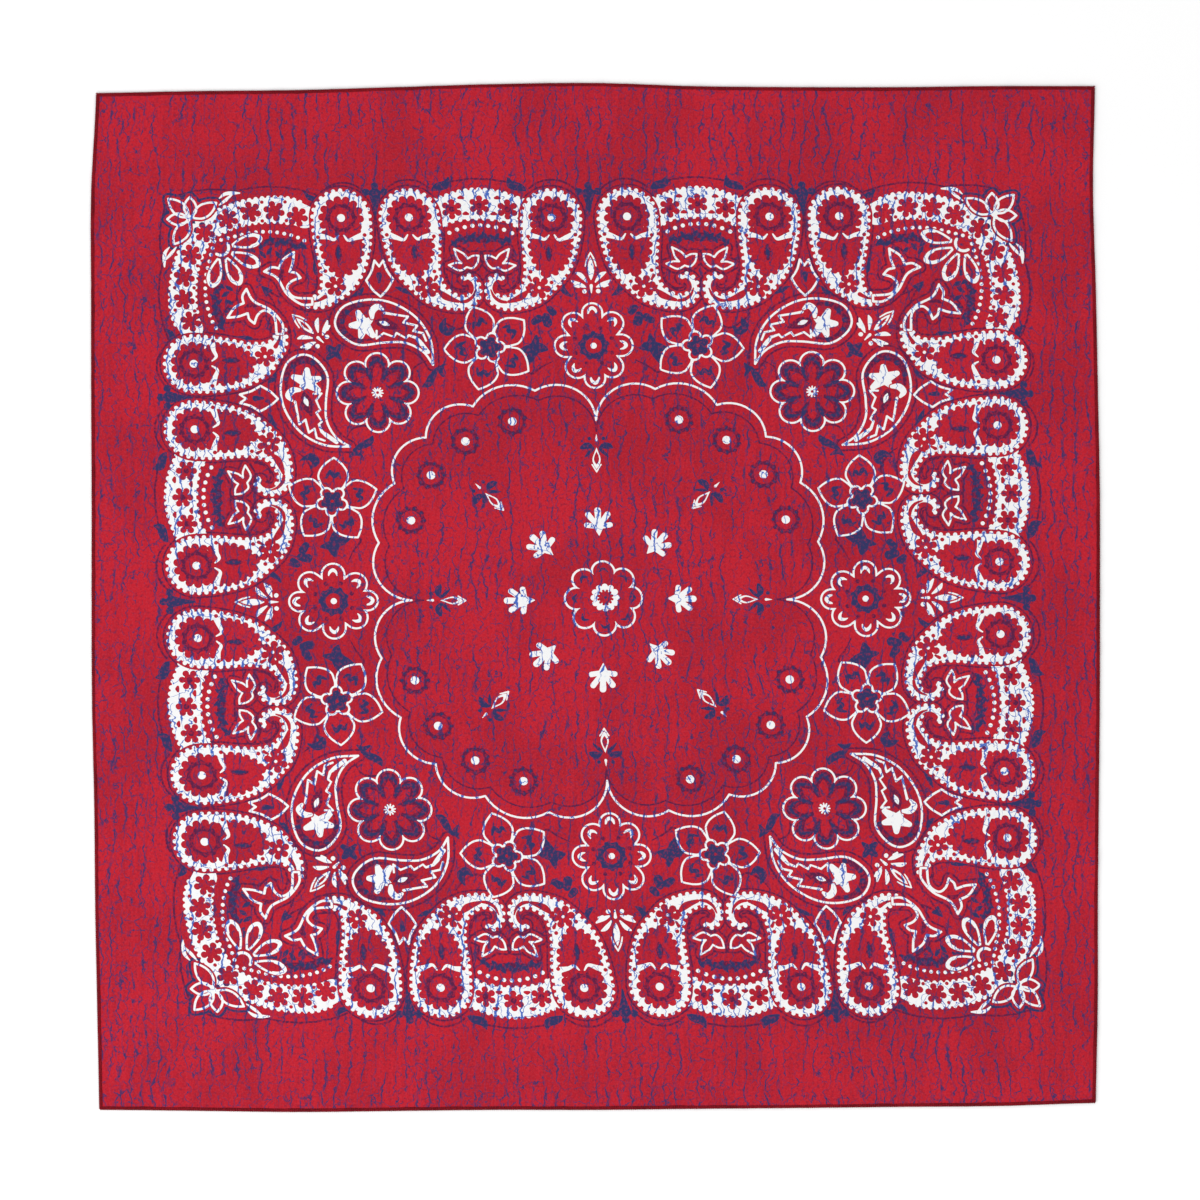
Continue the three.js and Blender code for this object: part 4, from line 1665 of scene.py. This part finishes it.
@dataclass(frozen=True)
class PrintedCotton:
    """Thin red cotton with a crackled print: navy cracks on red, bright blue ones on white.

    Attributes:
        soft_on_red: how far outside and inside its edge a crack fades on red, in metres.
        soft_on_white: the same on white.
        cloud_share: the share of clouds in the red's mottling, which is streaks for the rest.
        cloud_levels: its levels from deep red to red.
        crack_grain: how much of a crack on red is there without grain, and how much grain adds.
        unbroken: the share of a crack on red that is left in its gaps.
        blue_crack_strength: how strong a crack is on white.
        wear_grain: how much grain adds to the flecks that wear the ink.
        wear_levels: the levels of the flecks from worn to whole ink.
        worn: the least share of faded navy that is left where the print is worn.
        navy_gain: how much more than that is left of full navy.
        fleck_strength: the most that a fleck darkens the red.
        lint_strength: the most that lint lightens it.
        blue_strength: the most that blue specks tint the white.
        thread_pitch: millimetres for one wave of the weave.
        grain_relief: how much grain adds to the weave's height.
        relief: the weave's bump, as strength and metres.
    """

    red: Colour = srgb(186, 25, 42)
    deep_red: Colour = srgb(168, 21, 39)
    fleck: Colour = srgb(112, 24, 54)
    white: Colour = srgb(236, 236, 236)
    pale_blue: Colour = srgb(170, 196, 228)
    navy: Colour = srgb(44, 48, 94)
    lint: Colour = srgb(210, 84, 100)
    faint: Colour = srgb(84, 26, 66)
    crack_on_red: Colour = srgb(56, 44, 94)
    crack_on_white: Colour = srgb(34, 86, 180)
    families: tuple[Cracks, ...] = (
        Cracks("X", 0.0062, 1.9, (30, 42), 0.42, 3.1, 0.0005),
        Cracks("X", 0.0064, 2.4, (60, 110), 0.38, 17.7, 0.0003),
        Cracks("Y", 0.0092, 2.4, (90, 60), 0.42, 41.3, 0.00028),
    )
    grain: Mottle = Mottle((900, 900), 2.0, 5.0)
    flecks: Mottle = Mottle((620, 560), 3.0, 63.0, 0.5, 0.74)
    clouds: Mottle = Mottle((22, 16), 4.0, 12.0)
    streaks: Mottle = Mottle((500, 45), 2.0, 31.0)
    lint_specks: Mottle = Mottle((1050, 950), 2.0, 88.0, 0.46, 0.66)
    gaps: Mottle = Mottle((270, 130), 2.0, 51.0, 0.36, 0.54)
    blue_specks: Mottle = Mottle((420, 380), 4.0, 77.0, 0.58, 0.76)
    soft_on_red: tuple[float, float] = (-0.0003, 0.00022)
    soft_on_white: tuple[float, float] = (-0.0001, 0.00014)
    cloud_share: float = 0.7
    cloud_levels: tuple[float, float] = (0.36, 0.62)
    crack_grain: tuple[float, float] = (0.5, 0.8)
    unbroken: float = 0.3
    blue_crack_strength: float = 0.95
    wear_grain: float = 0.5
    wear_levels: tuple[float, float] = (0.58, 0.84)
    worn: float = 0.42
    navy_gain: float = 0.26
    fleck_strength: float = 0.6
    lint_strength: float = 0.1
    blue_strength: float = 0.3
    thread_pitch: float = 0.42
    grain_relief: float = 1.5
    relief: tuple[float, float] = (0.25, 0.00006)
    roughness: float = 0.9
    shine: float = 0.2

    def dyed(self, graph: Graph, place: Wire, flecks: Wire) -> Wire:
        """Adds the red ground: clouds of deeper red, dark flecks and pale lint.

        Args:
            graph: the graph that it is added to.
            place: the place in metres.
            flecks: the noise of the flecks.

        Returns:
            The ground's colour.
        """
        clouds = self.clouds.read(graph, place) * self.cloud_share
        clouds = clouds + self.streaks.read(graph, place) * (1 - self.cloud_share)
        ground = graph.mix(graph.ramp(clouds, *self.cloud_levels), self.deep_red, self.red)
        dark = graph.ramp(flecks, self.flecks.low, self.flecks.high) * self.fleck_strength
        ground = graph.mix(dark, ground, self.fleck)
        return graph.mix(self.lint_specks.faded(graph, place) * self.lint_strength, ground, self.lint)

    def material(self) -> bpy.types.Material:
        """Builds the material, which reads Object coordinates and the print's face attributes.

        Returns:
            The material.
        """
        graph = Graph("printed_cotton")
        place = graph.object_place()
        split = {axis: graph.node("ShaderNodeSeparateXYZ", {}, {0: place}, axis) for axis in "XY"}
        ink = {}
        for name in INKS:
            ink[name] = graph.node("ShaderNodeAttribute", {"attribute_name": name.value}, {}, "Fac")
        deep = [family.depth(graph, place, split) for family in self.families]
        deepest = deep[0].maths("MAXIMUM", deep[1]).maths("MAXIMUM", deep[2])
        grain, flecks = self.grain.read(graph, place), self.flecks.read(graph, place)
        ground = self.dyed(graph, place, flecks)
        broken = self.unbroken + self.gaps.faded(graph, place) * (1 - self.unbroken)
        even, grainy = self.crack_grain
        crack = graph.ramp(deepest, *self.soft_on_red) * (even + grain * grainy) * broken
        ground = graph.mix(crack, ground, self.crack_on_red)
        wear = graph.ramp(flecks + grain * self.wear_grain, *self.wear_levels)
        left = self.worn + wear * (1 - self.worn)
        ground = graph.mix(ink[Ink.FAINT] * left, ground, self.faint)
        ground = graph.mix(ink[Ink.NAVY] * (left + self.navy_gain).maths("MINIMUM", 1.0), ground, self.navy)
        tint = self.blue_specks.faded(graph, place) * self.blue_strength
        white = graph.mix(tint, self.white, self.pale_blue)
        blue_crack = graph.ramp(deepest, *self.soft_on_white) * self.blue_crack_strength
        white = graph.mix(blue_crack, white, self.crack_on_white)
        turns = 2 * math.pi / (self.thread_pitch * MM)
        weave = (split["X"] * turns).maths("SINE") * (split["Y"] * turns).maths("SINE")
        wired = {
            "Base Color": graph.mix(ink[Ink.WHITE], ground, white),
            "Normal": graph.bump(*self.relief, weave + grain * self.grain_relief),
        }
        return graph.surface({"Roughness": self.roughness, "Specular IOR Level": self.shine}, wired)


@dataclass(frozen=True)
class OverlockThread:
    """Dark red overlock thread.

    Attributes:
        fibre_share: the share of fibres in the mottling, which is clouds for the rest.
        levels: its levels from dark to light.
        relief: the fibres' bump, as strength and metres.
    """

    light: Colour = srgb(140, 12, 28)
    dark: Colour = srgb(96, 5, 18)
    fibres: Mottle = Mottle((1400, 1400), 3.0, 2.0)
    clouds: Mottle = Mottle((60, 60), 2.0, 9.0)
    fibre_share: float = 0.7
    levels: tuple[float, float] = (0.35, 0.65)
    relief: tuple[float, float] = (0.3, 0.00008)
    roughness: float = 0.8
    shine: float = 0.15

    def material(self) -> bpy.types.Material:
        """Builds the material, mottled along the thread.

        Returns:
            The material.
        """
        graph = Graph("overlock_thread")
        place = graph.object_place()
        fibres = self.fibres.read(graph, place)
        level = fibres * self.fibre_share + self.clouds.read(graph, place) * (1 - self.fibre_share)
        wired = {
            "Base Color": graph.mix(graph.ramp(level, *self.levels), self.dark, self.light),
            "Normal": graph.bump(*self.relief, fibres),
        }
        return graph.surface({"Roughness": self.roughness, "Specular IOR Level": self.shine}, wired)


def new_object(
    name: str, places: np.ndarray, triangles: np.ndarray, uv: np.ndarray, material: bpy.types.Material
) -> bpy.types.Object:
    """Makes a smooth mesh object at the origin.

    Args:
        name: the piece's name.
        places: rows of x, y and z in millimetres.
        triangles: rows of point numbers.
        uv: a place on the bake map for each triangle's corners in turn.
        material: its finish.

    Returns:
        The object, linked to the scene.
    """
    mesh = bpy.data.meshes.new(name)
    mesh.from_pydata((places * MM).tolist(), [], triangles.tolist())
    mesh.uv_layers.new(name="OFBake").data.foreach_set("uv", uv.astype(np.float32).ravel())
    mesh.materials.append(material)
    mesh.shade_smooth()
    piece = bpy.data.objects.new(name, mesh)
    bpy.context.scene.collection.objects.link(piece)
    return piece


def split_quads(quads: np.ndarray) -> np.ndarray:
    """Two triangles for each row of four points."""
    return np.vstack([quads[:, [0, 1, 2]], quads[:, [0, 2, 3]]])


@dataclass(frozen=True)
class Cloth:
    """The printed square: the print's faces, a plain margin round them, a rim and a flat underside.

    Attributes:
        form: how the cloth lies.
        lay: how the print lies on it.
        motifs: the print.
        margin_rows: rows of faces from the print to the rim.
        rim_inset: millimetres from the hem's outer line to the rim.
        underside_rings: rings of faces under it.
        map_top: the share of the bake map that the upper side takes.
        map_edge: the gap round the bake map.
        map_side: where the underside starts and ends beside the upper side.
        map_strips: where the strips of the rim start over the upper side, their step and height.
        flat: the size of the flat cut in metres.
    """

    form: ClothForm = field(default_factory=ClothForm)
    lay: PrintLay = field(default_factory=PrintLay)
    motifs: PaisleyPrint = field(default_factory=PaisleyPrint)
    margin_rows: int = 6
    rim_inset: float = 0.5
    underside_rings: int = 5
    map_top: float = 0.9
    map_edge: float = 0.004
    map_side: tuple[float, float] = (0.91, 0.995)
    map_strips: tuple[float, float, float] = (0.012, 0.022, 0.014)
    flat: tuple[float, float] = (0.550, 0.559)

    def underside(self, rim: np.ndarray) -> tuple[np.ndarray, np.ndarray]:
        """Fills the rim with rings of triangles that face down: the rim shrunk towards its middle.

        Args:
            rim: rows of x and y.

        Returns:
            The points and the triangles.
        """
        count, rings = len(rim), self.underside_rings
        middle = rim.mean(axis=0)
        shares = np.linspace(1, 0, rings + 1)[:-1, None, None]
        points = np.vstack([(middle + (rim - middle) * shares).reshape(-1, 2), middle])
        rows = np.arange(rings * count).reshape(rings, count)
        inner, outer = np.roll(rows[1:], -1, axis=1), np.roll(rows[:-1], -1, axis=1)
        quads = np.stack([rows[:-1], rows[1:], inner, outer], axis=-1).reshape(-1, 4)
        fan = np.column_stack([rows[-1], np.full(count, rings * count), np.roll(rows[-1], -1)])
        return points, np.vstack([split_quads(quads), fan])

    def margin(self, plan: np.ndarray, flat: np.ndarray) -> tuple[np.ndarray, np.ndarray, np.ndarray]:
        """Lays even rows of points from the print's outer edge to the rim.

        Args:
            plan: the print's points in its plan.
            flat: the same on the cloth.

        Returns:
            The new points, all rows as point numbers, and the rim's places.
        """
        reach = self.motifs.plate.reach
        edge = np.flatnonzero(np.abs(plan).max(axis=1) > reach - HAIR)
        ring = edge[np.argsort(np.arctan2(plan[edge, 1], plan[edge, 0]))]
        inset = self.rim_inset * MM / self.flat[0]
        share = inset + (plan[ring] + reach) / (2 * reach) * (1 - 2 * inset)
        rim = self.form.place(*share.T)
        parts = np.linspace(0, 1, self.margin_rows + 1)[1:, None, None]
        points = (flat[ring] + (rim - flat[ring]) * parts).reshape(-1, 2)
        return points, np.vstack([ring, len(flat) + np.arange(len(points)).reshape(-1, len(ring))]), rim

    def build(self, material: bpy.types.Material) -> bpy.types.Object:
        """Builds the cloth with its print as face attributes.

        Args:
            material: its finish.

        Returns:
            The object.
        """
        eighth = PrintedEighth(self.motifs.plate.reach)
        plan, top, colour = whole_plan(*eighth.built(self.motifs.draw()))
        flat = self.lay.to_cloth(plan)
        margin, rows, rim = self.margin(plan, flat)
        inner, outer = rows[:-1], rows[1:]
        quads = np.stack([inner, outer, np.roll(outer, -1, axis=1), np.roll(inner, -1, axis=1)], axis=-1)
        upper = np.vstack([flat, margin])
        below, under = self.underside(rim)
        above = np.column_stack([upper, self.form.height(upper)])
        places = np.vstack([above, np.column_stack([below, np.zeros(len(below))])])
        places[:, :2] -= self.form.middle()
        top_rim, low_rim = rows[-1], len(upper) + np.arange(len(rim))
        wall = np.stack([top_rim, low_rim, np.roll(low_rim, -1), np.roll(top_rim, -1)], axis=-1)
        sheets = [top, split_quads(quads.reshape(-1, 4)), under + len(upper), split_quads(wall)]
        triangles = np.vstack(sheets)
        uv = self.bake_map(places, len(upper), triangles, len(wall))
        piece = new_object("cloth", places, triangles, uv, material)
        for number, ink in enumerate(INKS):
            amount = np.zeros(len(triangles), np.float32)
            amount[: len(top)] = colour == number
            piece.data.attributes.new(ink.value, "FLOAT", "FACE").data.foreach_set("value", amount)
        down = np.tile((0.0, 0.0, -1.0), (len(below), 1))
        normals = np.vstack([self.form.normals(upper), down])
        piece.data.normals_split_custom_set_from_vertices(normals.tolist())
        LOG.info("cloth: %d triangles, %d of them in the print", len(triangles), len(top))
        return piece

    def bake_map(self, places: np.ndarray, upper: int, triangles: np.ndarray, walls: int) -> np.ndarray:
        """Lays the upper side over most of the bake map, and the underside and rim in strips beside it.

        Args:
            places: all points.
            upper: how many of them are on the upper side.
            triangles: all triangles, those of the rim last.
            walls: how many quads the rim has.

        Returns:
            A place on the map for each triangle's corners in turn.
        """
        low, high = places[:, :2].min(axis=0), places[:, :2].max(axis=0)
        share = (places[:, :2] - low) / (high - low)
        uv = self.map_edge + share * (self.map_top - self.map_edge)
        uv[upper:, 0] = self.map_side[0] + share[upper:, 0] * (self.map_side[1] - self.map_side[0])
        corners = uv[triangles]
        row_length = walls // 4 + 1
        number = np.arange(walls)
        left = self.map_edge + (number % row_length) / row_length * (self.map_top - self.map_edge)
        right = left + self.map_top / (row_length + 1)
        start, step, tall = self.map_strips
        base = self.map_top + start + step * (number // row_length)
        pairs = ((left, base + tall), (left, base), (right, base), (right, base + tall))
        quad = np.stack([np.column_stack(pair) for pair in pairs], axis=1)
        corners[-2 * walls :] = split_quads(quad)
        return corners.reshape(-1, 2)


@dataclass(frozen=True)
class OverlockedEdge:
    """The overlocked edge along one side: slanted thread loops wrapped round a cord of thread.

    Attributes:
        side: which side it is on.
        form: how the cloth lies.
        pitch: millimetres from loop to loop.
        thread: half of the thread's width.
        middle_inward: how far inside the cloth's edge the cord runs.
        wrap: how far a loop reaches to each side of the cord's middle.
        half_height: how far it reaches up.
        slant: how far a loop leans along the edge.
        loop_turn: the degrees round the cord at which a loop starts and ends.
        rise_share: how much of the cloth's rise the cord follows.
        thread_rest: how much of the thread's half width the cord rests over the floor.
        end_size: how far a thread is drawn in at its ends.
    """

    side: Side
    form: ClothForm
    pitch: float = 1.15
    thread: float = 0.27
    middle_inward: float = 1.25
    wrap: float = 1.05
    half_height: float = 0.42
    slant: float = 0.9
    loop_turn: tuple[float, float] = (25.0, 262.0)
    rise_share: float = 0.75
    thread_rest: float = 0.9
    end_size: float = 0.05
    loop_steps: int = 9
    loop_sides: int = 5
    cord_steps: int = 300
    cord_sides: int = 10

    def carried(self, share: np.ndarray, inward: np.ndarray, up: np.ndarray) -> np.ndarray:
        """Carries points along the edge.

        Args:
            share: shares of the way along it.
            inward: millimetres inside it.
            up: millimetres over the floor.

        Returns:
            Rows of x, y and z.
        """
        points = self.form.edge(self.side, share) - self.form.middle()
        inside = {Side.NEAR: (0, 1), Side.FAR: (0, -1), Side.LEFT: (1, 0), Side.RIGHT: (-1, 0)}[self.side]
        return np.column_stack([points + inward[:, None] * np.array(inside), up])

    def tube(
        self, lines: np.ndarray, radii: tuple[float, float], sides: int, aside: np.ndarray
    ) -> tuple[np.ndarray, np.ndarray]:
        """Tubes with closed ends along lines: rings of points about each line, drawn in at its ends.

        Args:
            lines: points by line, step and coordinate.
            radii: radius in the two directions across a line.
            sides: how many sides a tube has.
            aside: a direction that no line runs along.

        Returns:
            The points and the triangles.
        """
        way = np.gradient(lines, axis=1)
        first = np.cross(way, aside)
        first /= np.linalg.norm(first, axis=2, keepdims=True)
        second = np.cross(way, first)
        second /= np.linalg.norm(second, axis=2, keepdims=True)
        turn = 2 * np.pi * np.arange(sides) / sides
        size = np.ones(lines.shape[1])
        size[[0, -1]] = self.end_size
        ring = first[:, :, None] * np.cos(turn)[:, None] * radii[0]
        ring = ring + second[:, :, None] * np.sin(turn)[:, None] * radii[1]
        points = lines[:, :, None] + ring * size[:, None, None]
        number = np.arange(points.size // 3).reshape(points.shape[:3])
        here, there = number[:, :-1], number[:, 1:]
        quads = np.stack([here, there, np.roll(there, -1, axis=2), np.roll(here, -1, axis=2)], axis=-1)
        caps = []
        for end, way_round in ((0, 1), (-1, -1)):
            hub = number[:, end, [0] * (sides - 2)]
            fan = np.stack([hub, number[:, end, 1:-1], number[:, end, 2:]], axis=-1)
            caps.append(fan.reshape(-1, 3)[:, ::way_round])
        return points.reshape(-1, 3), np.vstack([split_quads(quads.reshape(-1, 4)), *caps])

    def build(self, material: bpy.types.Material) -> bpy.types.Object:
        """Builds the loops and the cord as one piece.

        Args:
            material: their finish.

        Returns:
            The object.
        """
        ends = self.form.edge(self.side, np.array([0.0, 1.0]))
        length = float(np.hypot(*(ends[1] - ends[0])))
        count = int(length / self.pitch)
        turn = np.radians(np.linspace(*self.loop_turn, self.loop_steps))
        slide = self.slant * np.linspace(0, 1, self.loop_steps)
        share = np.clip(((np.arange(count) + 0.5)[:, None] * self.pitch + slide) / length, 0, 1).ravel()
        wrap = np.tile(self.middle_inward + self.wrap * np.cos(turn), count)
        up = self.lift(share) + self.half_height * np.tile(np.sin(turn), count)
        loops = self.carried(share, wrap, up).reshape(count, -1, 3)
        along = np.append(ends[1] - ends[0], 0) / length
        points, triangles = self.tube(loops, (self.thread, self.thread), self.loop_sides, along)
        share = np.linspace(0, 1, self.cord_steps)
        cord = self.carried(share, np.full(self.cord_steps, self.middle_inward), self.lift(share))[None]
        sizes = (self.wrap, self.half_height)
        cord_points, cord_triangles = self.tube(cord, sizes, self.cord_sides, np.array([0.0, 0.0, 1.0]))
        faces = np.vstack([triangles, cord_triangles + len(points)])
        places = np.vstack([points, cord_points])
        places[:, 2] = np.maximum(places[:, 2], 0)
        piece = new_object(
            f"overlock_{self.side.value}", places, faces, self.bake_map(len(faces)), material
        )
        LOG.info("%s: %d loops, %d triangles", piece.name, count, len(faces))
        return piece

    def lift(self, share: np.ndarray) -> np.ndarray:
        """Lifts the cord's middle: it rests on the floor and follows a share of the cloth's rise.

        Args:
            share: shares of the way along the edge.

        Returns:
            Millimetres over the floor.
        """
        own = self.form.edge(self.side, share)
        rise = np.maximum(self.form.height(own) - self.form.thickness, 0) * self.rise_share
        return self.half_height + self.thread * self.thread_rest + rise

    def bake_map(self, count: int) -> np.ndarray:
        """Gives each triangle half of a small square of its own on the bake map.

        Args:
            count: how many triangles there are.

        Returns:
            A place on the map for each triangle's corners in turn.
        """
        across = math.ceil(math.sqrt(count / 2))
        number = np.arange(count)
        corner = np.column_stack([number // 2 % across, number // 2 // across])[:, None] / across
        lower = np.array([(0.1, 0.1), (0.85, 0.1), (0.1, 0.85)])
        upper = np.array([(0.9, 0.9), (0.15, 0.9), (0.9, 0.15)])
        shape = np.where((number % 2 == 0)[:, None, None], lower, upper) / across
        return (corner + shape).reshape(-1, 2)


@dataclass(frozen=True)
class Studio:
    """A pale floor, soft light and the camera straight above.

    Attributes:
        photo_span: metres that the photo's width shows.
        camera_middle: the millimetres of the photo's middle from the print's.
        lens: the focal length in millimetres.
        sensor: the width of the camera's sensor in millimetres.
        near_clip: metres from the camera to the nearest thing that it shows.
        floor_size: metres.
        floor_drop: metres that the floor lies under the cloth.
        world_strength: the strength of the even light.
        key_power: the lamp's watts.
        key_size: the lamp's metres.
        key_place: where the lamp hangs, in metres.
    """

    photo_span: float = 0.6558
    camera_middle: tuple[float, float] = (2.46, -1.37)
    lens: float = 100.0
    sensor: float = 36.0
    near_clip: float = 0.05
    floor_size: float = 4.0
    floor_drop: float = 0.0002
    world_strength: float = 0.9
    key_power: float = 14.0
    key_size: float = 1.2
    key_place: tuple[float, float, float] = (-1.25, -0.95, 1.15)

    def floor(self) -> bpy.types.Object:
        """Lays a plain floor just under the cloth.

        Returns:
            The floor.
        """
        mesh = bpy.data.meshes.new("floor")
        corners = [(-1, -1), (1, -1), (1, 1), (-1, 1)]
        half = self.floor_size / 2
        mesh.from_pydata([(a * half, b * half, 0) for a, b in corners], [], [(0, 1, 2, 3)])
        floor = bpy.data.objects.new("floor", mesh)
        paint = {"Base Color": srgb(252, 252, 252), "Roughness": 0.95}
        mesh.materials.append(Graph("studio_floor").surface(paint, {}))
        bpy.context.scene.collection.objects.link(floor)
        floor.location.z = -self.floor_drop
        return floor

    def light(self) -> None:
        """A bright even world, and a large soft lamp from the near left."""
        scene = bpy.context.scene
        world = bpy.data.worlds.new("studio")
        world.use_nodes = True
        background = world.node_tree.nodes["Background"]
        background.inputs["Color"].default_value = (1, 1, 1, 1)
        background.inputs["Strength"].default_value = self.world_strength
        scene.world = world
        lamp = bpy.data.lights.new("key", "AREA")
        lamp.shape = "SQUARE"
        lamp.size = self.key_size
        lamp.energy = self.key_power
        key = bpy.data.objects.new("key", lamp)
        scene.collection.objects.link(key)
        key.location = self.key_place
        key.rotation_euler = (-key.location).to_track_quat("-Z", "Y").to_euler()
        scene.view_settings.view_transform = "Standard"
        scene.view_settings.look = "None"

    def camera(self, form: ClothForm) -> None:
        """Hangs a camera straight above, at the height where the photo's width fills its frame.

        Args:
            form: how the cloth lies, which says where its middle is.
        """
        scene = bpy.context.scene
        view = bpy.data.cameras.new("camera")
        view.lens = self.lens
        view.sensor_width = self.sensor
        view.clip_start = self.near_clip
        camera = bpy.data.objects.new("camera", view)
        scene.collection.objects.link(camera)
        x, y = (np.array(self.camera_middle) - form.middle()) * MM
        camera.location = (x, y, self.photo_span * self.lens / self.sensor)
        scene.camera = camera


def main() -> None:
    """Builds the bandana, declares its pieces and sets the studio."""
    logging.basicConfig(level=logging.INFO, format="%(name)s: %(message)s")
    form = ClothForm()
    cloth = Cloth(form).build(PrintedCotton().material())
    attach(cloth, "root")
    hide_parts("panel")
    thread = OverlockThread().material()
    for side in Side:
        hem = OverlockedEdge(side, form).build(thread)
        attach(hem, "root")
        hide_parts(f"hem_{side.value}")
    studio = Studio()
    studio.floor()
    studio.light()
    studio.camera(form)
    bpy.context.view_layer.update()


if __name__ == "__main__":
    main()
